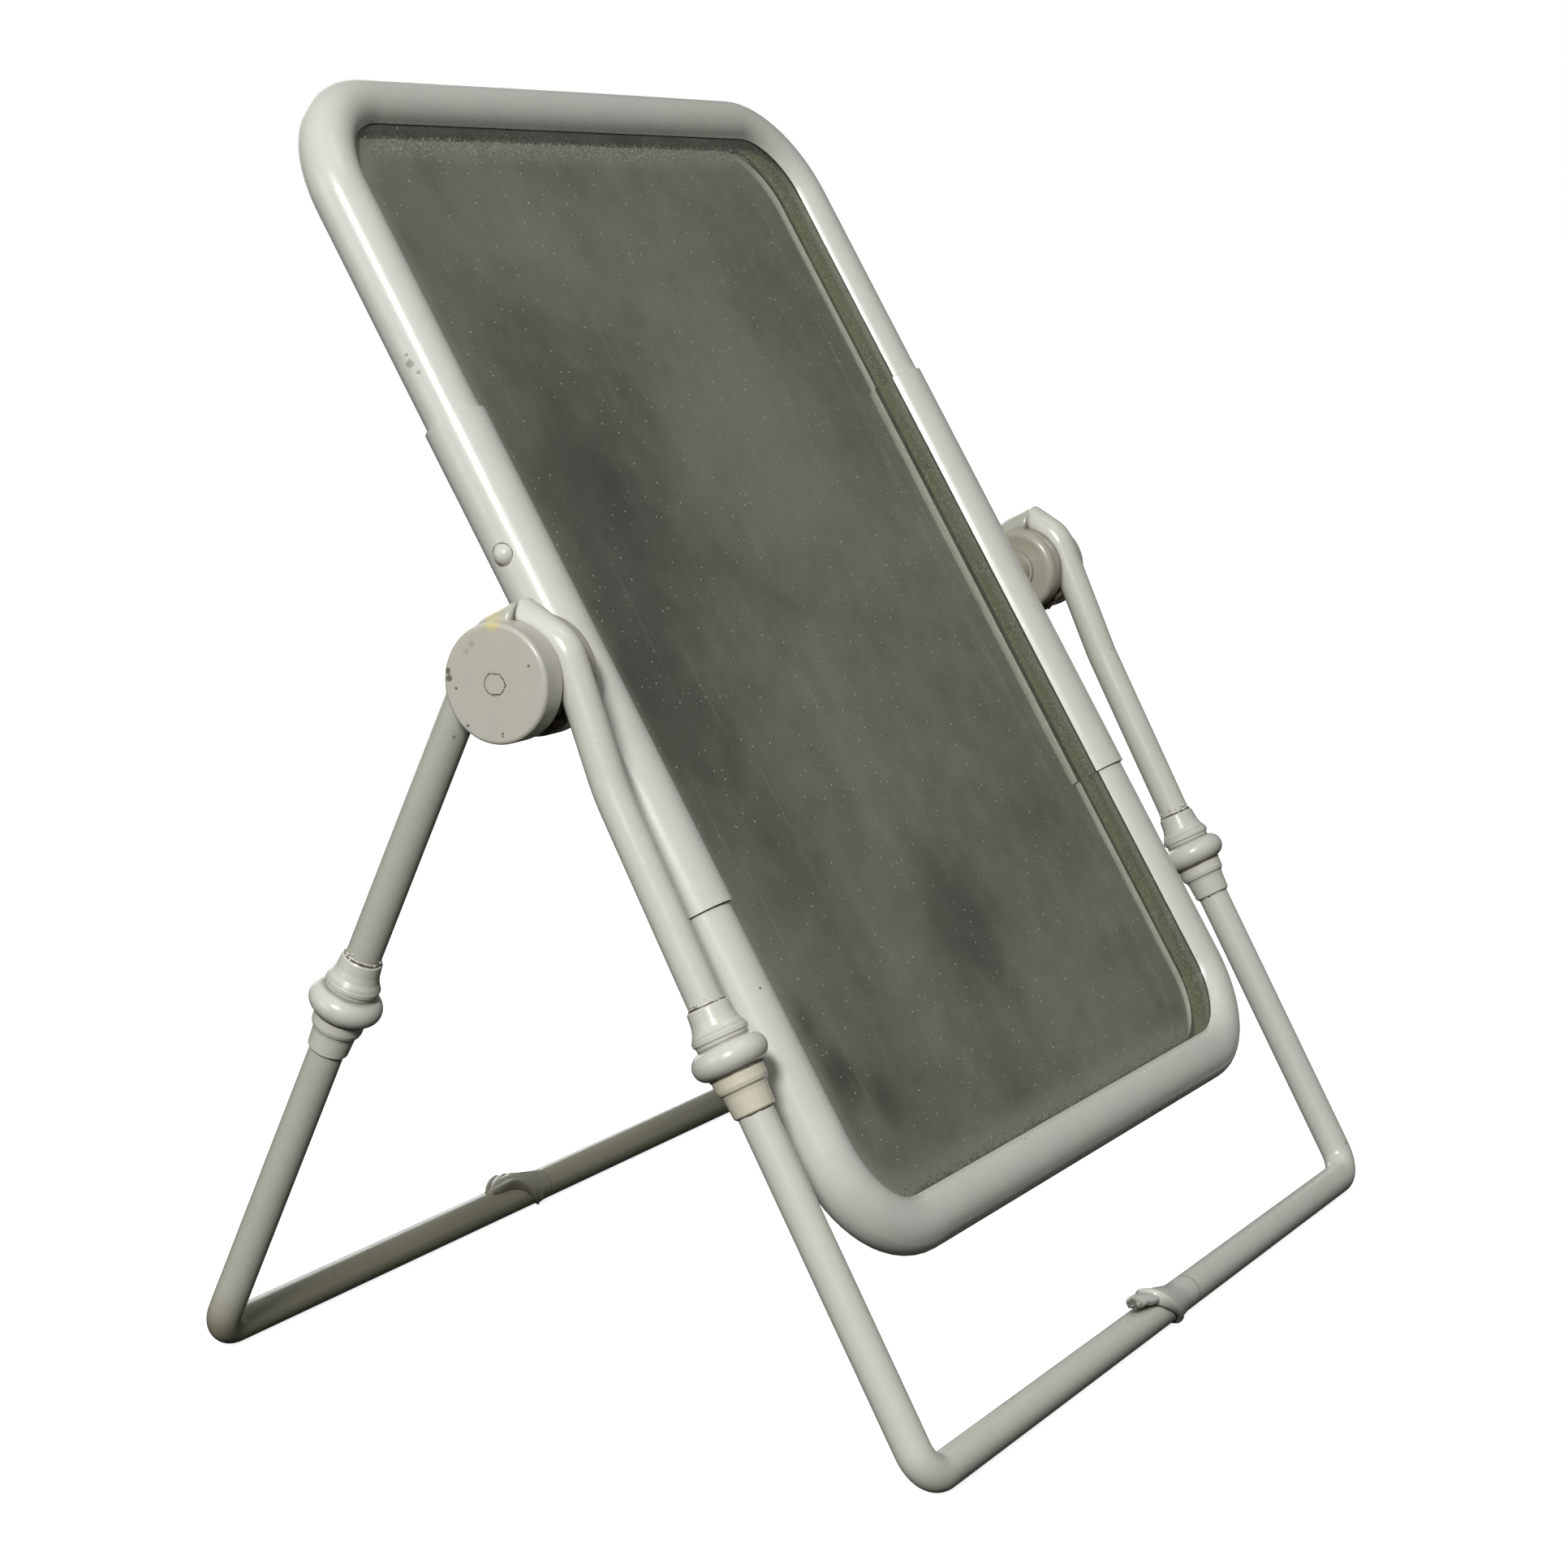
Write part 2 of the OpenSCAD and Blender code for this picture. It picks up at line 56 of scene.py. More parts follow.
TUBE_R = 4.0
DRUM_FACE = 138.0
FRAME_X = 105.8  # middle of the frame's upright tubes
PIVOT = [j for j in frame["joints"] if j["name"] == "mirror_tilt"][0]["pos_m"]
PIVOT_H = PIVOT[2] / MM
FRONT_X, REAR_X = 127.4, 128.6
FRONT_REACH, REAR_REACH = 97.5, 84.0
FRONT_LEAN = math.radians(29.5)
FRONT_COLLAR, REAR_COLLAR = 95.5, 91.3
FOOT_BEND_R = 7.0
REAR_OFFSET = 10.6
REAR_LEAN = math.atan2(REAR_REACH, PIVOT_H - TUBE_R) - math.asin(
    REAR_OFFSET / math.hypot(REAR_REACH, PIVOT_H - TUBE_R)
)
TILT = math.radians(31.5)

# ---- camera ----

AZIMUTH, ELEVATION, ROLL = math.radians(-61.262), math.radians(9.946), math.radians(0.499)
TARGET = Vector((-0.13073, -0.06453, 0.14610))
DISTANCE = 0.66188
LENS = 75.83

back = Vector(
    (
        math.sin(AZIMUTH) * math.cos(ELEVATION),
        -math.cos(AZIMUTH) * math.cos(ELEVATION),
        math.sin(ELEVATION),
    )
)
right = Vector((0, 0, 1)).cross(back).normalized()
up = back.cross(right)
turned_right = right * math.cos(ROLL) + up * math.sin(ROLL)
turned_up = up * math.cos(ROLL) - right * math.sin(ROLL)
camera_data = bpy.data.cameras.new("camera")
camera_data.lens = LENS
camera_data.sensor_width = 36
camera_data.clip_start, camera_data.clip_end = 0.01, 100
camera = bpy.data.objects.new("camera", camera_data)
rotation = Matrix((turned_right, turned_up, back)).transposed().to_4x4()
camera.matrix_world = Matrix.Translation(TARGET + back * DISTANCE) @ rotation
scene.collection.objects.link(camera)
scene.camera = camera

# ---- material helpers ----


class Tree:
    """Short ways to add and join shader nodes of one material or world."""

    def __init__(self, owner):
        owner.use_nodes = True
        self.nodes = owner.node_tree.nodes
        self.links = owner.node_tree.links
        self.nodes.clear()

    def new(self, kind):
        return self.nodes.new("ShaderNode" + kind)

    def feed(self, node, key, value):
        """Set a constant on an input, or join an output to it."""
        if isinstance(value, bpy.types.NodeSocket):
            self.links.new(value, node.inputs[key])
        else:
            node.inputs[key].default_value = value

    def math(self, operation, a, b=0.0):
        node = self.new("Math")
        node.operation = operation
        self.feed(node, 0, a)
        self.feed(node, 1, b)
        return node.outputs[0]

    def swing(self, noise, size):
        """A noise of 0 to 1 made to swing round zero."""
        return self.math("MULTIPLY", self.math("SUBTRACT", noise, 0.5), size)

    def vector(self, operation, a, b):
        node = self.new("VectorMath")
        node.operation = operation
        self.feed(node, 0, a)
        self.feed(node, 1, b)
        return node.outputs["Vector" if operation == "ADD" else "Value"]

    def split(self, where):
        node = self.new("SeparateXYZ")
        self.feed(node, 0, where)
        return node.outputs

    def noise(self, where, scale, detail=3.0, roughness=0.55):
        node = self.new("TexNoise")
        self.feed(node, "Vector", where)
        self.feed(node, "Scale", scale)
        self.feed(node, "Detail", detail)
        self.feed(node, "Roughness", roughness)
        return node.outputs["Fac"]

    def cells(self, where, scale, dimensions="3D"):
        """Scattered points: the distance to the nearest one, and three random values that belong to it."""
        node = self.new("TexVoronoi")
        node.voronoi_dimensions = dimensions
        self.feed(node, "Vector", where)
        self.feed(node, "Scale", scale)
        chance = self.new("SeparateColor")
        self.feed(chance, "Color", node.outputs["Color"])
        return node.outputs["Distance"], chance.outputs

    def remap(self, value, low, high, out_low=0.0, out_high=1.0):
        node = self.new("MapRange")
        node.interpolation_type = "SMOOTHSTEP"
        self.feed(node, "Value", value)
        sockets = ("From Min", "From Max", "To Min", "To Max")
        for key, number in zip(sockets, (low, high, out_low, out_high)):
            self.feed(node, key, number)
        return node.outputs["Result"]

    def mix(self, share, a, b):
        node = self.new("Mix")
        node.data_type = "RGBA"
        node.clamp_factor = True
        self.feed(node, 0, share)
        self.feed(node, 6, a)
        self.feed(node, 7, b)
        return node.outputs[2]

    def place(self):
        return self.new("TexCoord").outputs["Object"]

    def bump(self, height, strength, distance, under=None):
        node = self.new("Bump")
        self.feed(node, "Strength", strength)
        self.feed(node, "Distance", distance)
        self.feed(node, "Height", height)
        if under is not None:
            self.feed(node, "Normal", under)
        return node.outputs["Normal"]

    def principled(self, colour, roughness, metallic=0.0):
        node = self.new("BsdfPrincipled")
        self.feed(node, "Base Color", colour)
        self.feed(node, "Roughness", roughness)
        self.feed(node, "Metallic", metallic)
        return node

    def blend(self, share, first, second):
        node = self.new("MixShader")
        for key, value in enumerate((share, first.outputs[0], second.outputs[0])):
            self.feed(node, key, value)
        return node

    def finish(self, shader):
        self.feed(self.new("OutputMaterial"), "Surface", shader.outputs[0])


def new_material(name):
    material = bpy.data.materials.new(name)
    return material, Tree(material)


def rgb(r, g, b):
    """Linear colour from 0-255 display values."""
    linear = [((c / 255 + 0.055) / 1.055) ** 2.4 if c > 10 else c / 255 / 12.92 for c in (r, g, b)]
    return (*linear, 1.0)


def tinted(base, *factors):
    return tuple(c * k for c, k in zip(base, factors)) + (1.0,)


def paint(name, base, warm=0.25, seed=0.0, spots=(), bands=(), rough=0.30, corner_dirt_and_shade=0.8):
    """Aged gloss enamel. A spot is (point, radius, colour, strength). A band is (point, axis, low, high,
    colour, strength, edge), a stripe between two distances along the axis. Metres."""
    material, t = new_material(name)
    plain = t.place()
    here = t.vector("ADD", plain, (seed, seed * 0.37, -seed * 0.61))
    broad = t.noise(here, 26, 3)
    middle = t.noise(here, 130, 4, 0.6)
    fine = t.noise(here, 900, 3, 0.6)
    colour = t.mix(t.remap(broad, 0.42, 0.72, 0.0, warm), base, tinted(base, 0.99, 0.965, 0.86))
    colour = t.mix(t.remap(middle, 0.35, 0.7, 0.0, 0.5), colour, tinted(base, 0.90, 0.92, 0.93))
    for point, axis, low, high, tint, strength, edge in bands:
        along = t.vector("DOT_PRODUCT", t.vector("ADD", plain, tuple(-c for c in point)), axis)
        wavy = t.math("ADD", along, t.swing(middle, 0.0008))
        past_low = t.remap(wavy, low - edge, low + edge)
        before_high = t.remap(wavy, high - edge, high + edge, 1.0, 0.0)
        inside = t.math("MULTIPLY", past_low, before_high)
        colour = t.mix(t.math("MULTIPLY", inside, strength), colour, tint)
    # dirt and painted shade in the corners: the colour is darkened where ambient occlusion finds surfaces close by
    shade = t.new("AmbientOcclusion")
    shade.samples = 6
    t.feed(shade, "Distance", 0.0030)
    dirt_and_shade = t.remap(shade.outputs["AO"], 0.20, 0.68, corner_dirt_and_shade, 0.0)
    patchy_dirt_and_shade = t.math("MULTIPLY", dirt_and_shade, t.remap(middle, 0.3, 0.6, 0.6, 1.0))
    colour = t.mix(patchy_dirt_and_shade, colour, tinted(base, 0.30, 0.28, 0.21))
    # small specks
    distance, chance = t.cells(here, 130)
    near = t.remap(distance, 0.03, 0.07, 1.0, 0.0)
    speck = t.math("MULTIPLY", near, t.remap(chance[0], 0.84, 0.90, 0.0, 0.75))
    colour = t.mix(speck, colour, rgb(92, 88, 74))
    for point, radius, tint, strength in spots:
        ragged = t.math("ADD", t.vector("DISTANCE", plain, point), t.swing(fine, radius * 0.9))
        ragged = t.math("ADD", ragged, t.swing(middle, radius * 1.2))
        colour = t.mix(t.remap(ragged, radius * 0.55, radius * 1.05, strength, 0.0), colour, tint)
    gloss = t.remap(middle, 0.3, 0.75, rough - 0.06, rough + 0.1)
    shader = t.principled(colour, t.math("ADD", gloss, t.math("MULTIPLY", dirt_and_shade, 0.25)))
    t.feed(shader, "IOR", 1.5)
    t.feed(shader, "Coat Weight", 0.5)
    t.feed(shader, "Coat Roughness", 0.17)
    soft = t.bump(t.noise(here, 210, 2, 0.4), 0.07, 0.00025)
    peel = t.bump(fine, 0.04, 0.0001, soft)
    sunk = t.math("SUBTRACT", 1.0, speck)
    t.feed(shader, "Normal", t.bump(sunk, 0.5, 0.00012, peel))
    t.finish(shader)
    return material


def dark_seam(name):
    """Dried dirt and old solder flux in a seam; also the dark of the painted shadow rings round the screw heads
    and of the hub lumps that stand partly for shade.
    """
    material, t = new_material(name)
    crust = t.noise(t.place(), 1300, 4, 0.7)
    colour = t.mix(t.remap(crust, 0.3, 0.7), rgb(52, 46, 34), rgb(112, 100, 78))
    shader = t.principled(colour, t.remap(crust, 0.3, 0.7, 0.6, 0.9))
    t.feed(shader, "Normal", t.bump(crust, 0.4, 0.0001))
    t.finish(shader)
    return material


def steel_metal(name):
    """Worn uncoated steel of the parts inside the pivots."""
    material, t = new_material(name)
    here = t.place()
    wear = t.noise(here, 400, 5, 0.6)
    colour = t.mix(t.remap(wear, 0.4, 0.65), rgb(150, 148, 142), rgb(104, 98, 86))
    shader = t.principled(colour, t.remap(wear, 0.3, 0.7, 0.3, 0.55), 1.0)
    t.feed(shader, "Normal", t.bump(t.noise(here, 1500, 2), 0.15, 0.0001))
    t.finish(shader)
    return material


def board_card(name):
    """Brown fibreboard behind the glass."""
    material, t = new_material(name)
    fibre = t.noise(t.place(), 700, 4, 0.7)
    colour = t.mix(t.remap(fibre, 0.35, 0.7), rgb(150, 126, 92), rgb(112, 92, 66))
    shader = t.principled(colour, 0.9)
    t.feed(shader, "Normal", t.bump(fibre, 0.3, 0.0002))
    t.finish(shader)
    return material


def on_mirror(x, v, out=0.0):
    """Point in metres from millimetres across and up the tilted mirror, out of its face."""
    y = v * math.sin(TILT) - out * math.cos(TILT)
    z = v * math.cos(TILT) + out * math.sin(TILT)
    return Vector((x, y, PIVOT_H + z)) * MM


# half the width and height of the glass that shows, and the round of its corners, in millimetres
GLASS_EDGE_W, GLASS_EDGE_H = 99.8, 133.7
CORNER_R = 18.0
# patches in the silvering: across, up, radius in millimetres, and how much darker (+) or lighter (-)
CLOUDS = (
    (-52, 66, 34, 0.50),
    (-66, 30, 30, 0.70),
    (-76, -8, 30, 0.70),
    (-58, -44, 26, 0.25),
    (-2, -84, 22, 0.85),
    (-84, -104, 9, 0.9),
    (-72, -113, 7, 0.6),
    (-88, -90, 7, 0.6),
    (22, 40, 46, -0.50),
    (8, 84, 40, -0.35),
    (-52, 112, 36, -0.40),
    (30, -112, 34, -0.35),
    (12, -40, 30, -0.20),
)


def mirror_coordinates(t):
    """Millimetres across, out of and up the mirror, from object space."""
    node = t.new("Mapping")
    node.vector_type = "TEXTURE"
    t.feed(node, "Vector", t.place())
    t.feed(node, "Location", (0, 0, PIVOT_H * MM))
    t.feed(node, "Rotation", (-TILT, 0, 0))
    t.feed(node, "Scale", (MM, MM, MM))
    return node.outputs["Vector"]


def glass_edge(t, flat):
    """Distances in millimetres to the sides, to the nearest edge and to the top edge of the glass. The first
    is carried round the corners and faded out along the top and bottom."""
    place = t.split(flat)
    side = t.math("SUBTRACT", GLASS_EDGE_W, t.math("ABSOLUTE", place["X"]))
    end = t.math("SUBTRACT", GLASS_EDGE_H, t.math("ABSOLUTE", place["Z"]))
    across = t.math("MAXIMUM", t.math("SUBTRACT", CORNER_R, side), 0.0)
    upward = t.math("MAXIMUM", t.math("SUBTRACT", CORNER_R, end), 0.0)
    squares = t.math("ADD", t.math("MULTIPLY", across, across), t.math("MULTIPLY", upward, upward))
    rounded = t.math("SUBTRACT", CORNER_R, t.math("SQRT", squares))
    rounded = t.math("ADD", rounded, t.remap(across, 0.0, CORNER_R * 0.7, 6.0, 0.0))
    return rounded, t.math("MINIMUM", side, end), t.math("SUBTRACT", GLASS_EDGE_H, place["Z"])


def aged_silver(name):
    """Silvering behind the glass: softly clouded, and lost in crumbs along the edges; along the sides, a painted
    reflection of the frame's tubes: a brighter band, and a dull green strip for their shaded inside.
    """
    material, t = new_material(name)
    flat = mirror_coordinates(t)
    soft = t.noise(flat, 0.02, 2, 0.5)
    patch = t.noise(flat, 0.10, 3, 0.55)
    grain = t.noise(flat, 1.4, 5, 0.8)
    tone = t.math("ADD", t.swing(soft, 1.2), t.swing(patch, 0.9))
    for across, upward, radius, dark in CLOUDS:
        reach = t.vector("DISTANCE", flat, (across, 0, upward))
        tone = t.math("SUBTRACT", tone, t.remap(reach, 0.0, radius * 1.3, dark, 0.0))
    silver = t.mix(t.remap(tone, -1.0, 0.7), rgb(122, 124, 115), rgb(228, 227, 218))
    side, edge, top = glass_edge(t, flat)
    lost = t.remap(t.math("SUBTRACT", edge, t.swing(grain, 26.0)), -1.5, 0.8, 0.75, 0.0)
    # painted reflection: the silvering is made brighter 5 to 15 mm in from the sides, where the lit frame tubes
    # show in the glass
    silver = t.mix(t.remap(side, 5.0, 15.0, 0.9, 0.0), silver, (0.97, 0.97, 0.93, 1))
    silver = t.mix(lost, silver, rgb(74, 70, 58))
    haze = t.remap(patch, 0.35, 0.7, 0.02, 0.05)
    metal = t.principled(silver, t.math("ADD", haze, t.math("MULTIPLY", lost, 0.4)), 1.0)
    # along the sides a painted reflection of the frame's shaded inside: a dull green strip, with pale crumbs of
    # lost silver in it
    painted_reflection_strip = t.remap(t.math("ADD", side, t.swing(grain, 3.0)), 4.4, 5.4, 1.0, 0.0)
    strip_reflection_and_crumbs = t.mix(t.remap(grain, 0.50, 0.62), rgb(128, 128, 92), rgb(226, 226, 204))
    strip_reflection_and_crumbs = t.mix(t.remap(patch, 0.35, 0.6, 0.0, 0.6), strip_reflection_and_crumbs, rgb(156, 156, 114))
    crumbs = t.mix(grain, rgb(150, 146, 130), rgb(224, 222, 210))
    crumbs_and_painted_reflection = t.principled(t.mix(painted_reflection_strip, crumbs, strip_reflection_and_crumbs), 0.7)
    # bright crumbs under the top bar
    bright = t.math("MULTIPLY", t.remap(grain, 0.51, 0.55), t.remap(top, 2.0, 9.0, 1.0, 0.0))
    t.finish(t.blend(t.math("MAXIMUM", bright, t.math("MULTIPLY", painted_reflection_strip, 0.8)), metal, crumbs_and_painted_reflection))
    return material


def dusty_glass(name):
    """Clear old glass in front of the silvering: a thin grey film, dust specks and a few hair scratches."""
    material, t = new_material(name)
    flat = mirror_coordinates(t)
    cloud = t.noise(flat, 0.035, 4, 0.6)
    film_noise = t.noise(flat, 0.5, 4, 0.7)
    place = t.split(flat)
    level = t.new("CombineXYZ")
    t.feed(level, "X", place["X"])
    t.feed(level, "Y", place["Z"])
    distance, chance = t.cells(level.outputs[0], 0.36, "2D")
    size = t.remap(chance[1], 0.2, 1.0, 0.026, 0.070)
    crowd = t.math("ADD", chance[0], t.math("MULTIPLY", t.noise(flat, 0.03, 4, 0.6), 0.9))
    seen = t.remap(crowd, 1.08, 1.22, 0.0, 0.75)
    speck = t.math("MULTIPLY", t.math("LESS_THAN", distance, size), seen)
    # hair scratches, leaning along the glass
    streak = t.new("Mapping")
    t.feed(streak, "Vector", flat)
    t.feed(streak, "Rotation", (0, 0.45, 0))
    t.feed(streak, "Scale", (1.1, 1.0, 0.022))
    hair = t.remap(t.noise(streak.outputs["Vector"], 1.0, 2, 0.4), 0.68, 0.72, 0.0, 0.14)
    _, edge, _ = glass_edge(t, flat)
    rim = t.math("MULTIPLY", t.remap(edge, 0.0, 5.0, 0.20, 0.0), film_noise)
    marks = t.math("MAXIMUM", t.math("MAXIMUM", speck, hair), rim)
    cover = t.math("ADD", t.remap(cloud, 0.3, 0.7, 0.05, 0.11), t.math("MULTIPLY", film_noise, 0.04))
    cover = t.math("ADD", cover, marks)
    grey = t.mix(cloud, rgb(132, 134, 122), rgb(176, 178, 166))
    film = t.principled(t.mix(speck, grey, rgb(238, 238, 228)), 0.7)
    clear = t.new("BsdfTransparent")
    t.feed(clear, "Color", (0.925, 0.935, 0.90, 1))
    shine = t.principled(t.mix(cloud, (0.95, 0.95, 0.95, 1), (1, 1, 1, 1)), 0.02, 1.0)
    # the shine of glass by Schlick's formula
    facing = t.new("LayerWeight")
    t.feed(facing, "Blend", 0.5)
    grazing = t.math("POWER", facing.outputs["Facing"], 5.0)
    fresnel = t.math("ADD", t.math("MULTIPLY", grazing, 0.96), 0.04)
    pane = t.blend(fresnel, clear, shine)
    t.finish(t.blend(t.math("MINIMUM", cover, 0.9), pane, film))
    return material


# ---- floor, world and lights ----


def make_mesh(name, vertices, faces, smooth=True):
    mesh = bpy.data.meshes.new(name)
    mesh.from_pydata([tuple(v) for v in vertices], [], faces)
    mesh.update()
    if smooth:
        mesh.polygons.foreach_set("use_smooth", [True] * len(mesh.polygons))
    piece = bpy.data.objects.new(name, mesh)
    scene.collection.objects.link(piece)
    return piece


def stage_floor():
    """Wide round floor, pale enough to melt into the backdrop."""
    count, reach = 64, 30
    angles = np.linspace(0, 2 * math.pi, count, endpoint=False)
    ring = [(reach * math.cos(a), reach * math.sin(a), 0) for a in angles]
    floor = make_mesh("floor", ring, [tuple(range(count))], False)
    material, t = new_material("pale_floor")
    shader = t.principled((0.90, 0.90, 0.90, 1), 0.9)
    t.feed(shader, "Specular IOR Level", 0.1)
    t.feed(shader, "Emission Color", (1, 1, 1, 1))
    t.feed(shader, "Emission Strength", 0.85)
    t.finish(shader)
    floor.data.materials.append(material)
    floor.visible_diffuse = False
    floor.visible_glossy = False


def area_light(name, where, size, power, colour=(1, 1, 1)):
    """Square soft light aimed at the middle of the object."""
    data = bpy.data.lights.new(name, "AREA")
    data.energy = power
    data.color = colour
    data.size = size
    lamp = bpy.data.objects.new(name, data)
    lamp.location = where
    lamp.rotation_euler = (MIDDLE - Vector(where)).to_track_quat("-Z", "Y").to_euler()
    scene.collection.objects.link(lamp)


stage_floor()
world = bpy.data.worlds.new("studio")
scene.world = world
sky = Tree(world)
direction = sky.new("TexCoord").outputs["Generated"]
height = sky.remap(sky.split(direction)["Z"], -0.35, 0.75, 0.0, 1.0)
ambient = sky.mix(height, (0.020, 0.021, 0.018, 1), (0.30, 0.30, 0.30, 1))
# a dark wall opposite, which the glass reflects
wall = sky.remap(sky.vector("DOT_PRODUCT", direction, (0.864, -0.369, 0.343)), 0.80, 0.95)
ambient = sky.mix(wall, ambient, (0.200, 0.205, 0.192, 1))
in_view = sky.new("LightPath").outputs["Is Camera Ray"]
background = sky.new("Background")
sky.feed(background, "Color", sky.mix(in_view, ambient, (1.0, 1.0, 1.0, 1)))
sky.feed(sky.new("OutputWorld"), "Surface", background.outputs[0])

MIDDLE = Vector((0, 0, 0.14))
area_light("key", (-1.48, -0.46, 1.05), 0.26, 25, (1.0, 0.998, 0.99))
area_light("fill", (-1.7, 0.9, 0.5), 0.9, 3.5)
area_light("top", (-0.2, -0.6, 1.8), 0.7, 2.0)
area_light("back", (1.25, 1.55, 0.65), 1.3, 9.0)
scene.view_settings.view_transform = "Standard"

# ---- finishes ----

FRONT_FOOT = np.array([FRONT_REACH, TUBE_R - PIVOT_H])
REAR_FOOT = np.array([REAR_REACH, TUBE_R - PIVOT_H])


def out_dir(lean):
    """Down a leg, as (out, up)."""
    return np.array([math.sin(lean), -math.cos(lean)])


FRONT_BEAD = FRONT_FOOT - out_dir(FRONT_LEAN) * FRONT_COLLAR
REAR_BEAD = REAR_FOOT - out_dir(REAR_LEAN) * REAR_COLLAR


def on_leg(x, facing, point, lean):
    """Matrix in millimetres: +Z up along a leg, origin at [out, up] of that leg."""
    move = Matrix.Translation((x, facing * point[0], PIVOT_H + point[1]))
    return move @ Matrix.Rotation(facing * lean, 4, "X")


# front rods leave the collar at a lean of their own
FRONT_KNEE_Z = -22.0
FRONT_TOPS = {-1: (12.4, math.radians(21.0)), 1: (10.8, math.radians(24.5))}


def front_rod_lean(side):
    """Lean of a front rod between its collar and its knee."""
    offset, lean = FRONT_TOPS[side]
    knee = (offset - FRONT_KNEE_Z * math.sin(lean)) / math.cos(lean)
    return math.atan2(FRONT_BEAD[0] - knee, FRONT_KNEE_Z - FRONT_BEAD[1])


PUTTY = rgb(208, 208, 198)
DRUM_PAINT = rgb(190, 188, 176)
CREAM = rgb(208, 203, 182)
SCAR = rgb(96, 90, 74)


def on_drum(y, z, radius, tint=SCAR, strength=0.9):
    """Spot on the left drum's face, from the pivot axis, in millimetres."""
    return ((-DRUM_FACE * MM, y * MM, (PIVOT_H + z) * MM), radius * MM, tint, strength)


DRUM_SPOTS = (
    on_drum(11.6, 1.9, 0.8),
    on_drum(11.4, 0.4, 0.9),
    on_drum(9.6, -1.6, 0.45),
    on_drum(6.7, -9.2, 0.45),
    on_drum(-8.4, 4.4, 0.35),
    on_drum(-11.0, -6.4, 0.35),
    on_drum(-2.0, -10.2, 0.35),
    on_drum(-2.0, -10.8, 0.35),
    on_drum(5.6, 8.0, 0.9, SCAR, 0.25),
    on_drum(7.0, 6.4, 0.8, SCAR, 0.2),
    on_drum(1.0, 13.2, 2.4, rgb(214, 200, 130), 0.7),
)
# a yellow stain on the rear left hook
STAIN = ((-0.1300, 0.0040, (PIVOT_H + 11.8) * MM), 0.0034, rgb(214, 200, 128), 0.7)
putty = paint("putty_enamel", PUTTY, seed=0.0)
# chips in the frame above the left sleeve: across, up, out and radius in millimetres
DENTS = ((-111.9, 74.5, 0.3, 1.3), (-111.7, 72.0, 1.2, 0.8), (-112.0, 76.6, 0.6, 0.5))
FRAME_SPOTS = tuple((tuple(on_mirror(x, v, out)), size * MM, SCAR, 0.55) for x, v, out, size in DENTS)
putty_frame = paint("frame_enamel", rgb(210, 210, 202), seed=0.2, spots=FRAME_SPOTS)
putty_front = paint("front_rod_enamel", PUTTY, seed=0.45)
# painted shade: the rear rods' enamel is a little darker than the front rods', for the shade they stand in
putty_rear_shaded = paint("rear_rod_enamel_painted_shade", rgb(186, 186, 174), seed=0.6, spots=(STAIN,))
TONGUE_TIP = ((-0.0224, -FRONT_REACH * MM, 0.0108), 0.0022, rgb(74, 70, 58), 0.9)
putty_foot_front = paint("front_foot_enamel", rgb(208, 208, 200), seed=0.75, spots=(TONGUE_TIP,))
# painted shade: the rear foot's enamel is darker than the front's, and the band below 12 mm darkens its floor bar
# further, for the shade it lies in behind the mirror
REAR_BAR_SHADE = ((0, REAR_REACH * MM, 0), (0, 0, 1), -0.02, 0.012, rgb(150, 148, 126), 0.9, 0.006)
putty_foot = paint("rear_foot_enamel_painted_shade", rgb(190, 190, 179), seed=0.85, warm=0.4, bands=(REAR_BAR_SHADE,))
putty_drum = paint("drum_enamel", DRUM_PAINT, seed=0.3, warm=0.35, spots=DRUM_SPOTS, rough=0.42)
putty_disc = paint("disc_enamel", rgb(172, 168, 153), seed=0.95, warm=0.3, corner_dirt_and_shade=0.3, rough=0.36)
seam_dirt_and_shade = dark_seam("seam_dirt_and_shade")
steel_finish = steel_metal("worn_steel")
card = board_card("brown_board")
silver_finish = aged_silver("aged_silvering_painted_reflection")
glass_finish = dusty_glass("dusty_glass")
FINE_EDGE = 0.0003


def collar_finish(name, side, facing, cream, seed):
    """Enamel of a collar, its lower cup cream by a share, with dark lines round its steps."""
    bead, lean = (FRONT_BEAD, FRONT_LEAN) if facing < 0 else (REAR_BEAD, REAR_LEAN)
    x = side * (FRONT_X if facing < 0 else REAR_X)
    point = tuple(c * MM for c in (x, facing * bead[0], PIVOT_H + bead[1]))
    axis = (0.0, -facing * math.sin(lean), math.cos(lean))
    bands = (
        (point, axis, -0.0130, -0.0033, CREAM, cream, FINE_EDGE),
        (point, axis, -0.0037, -0.0030, SCAR, 0.55, FINE_EDGE),
        (point, axis, 0.0030, 0.0036, SCAR, 0.55, FINE_EDGE),
        (point, axis, -0.0072, -0.0067, SCAR, 0.25, FINE_EDGE),
        (point, axis, 0.0056, 0.0061, SCAR, 0.25, FINE_EDGE),
    )
    return paint(name, PUTTY, seed=seed, bands=bands)


def dress(node, material):
    mesh = nodes[node].data
    mesh.materials.clear()
    mesh.materials.append(material)


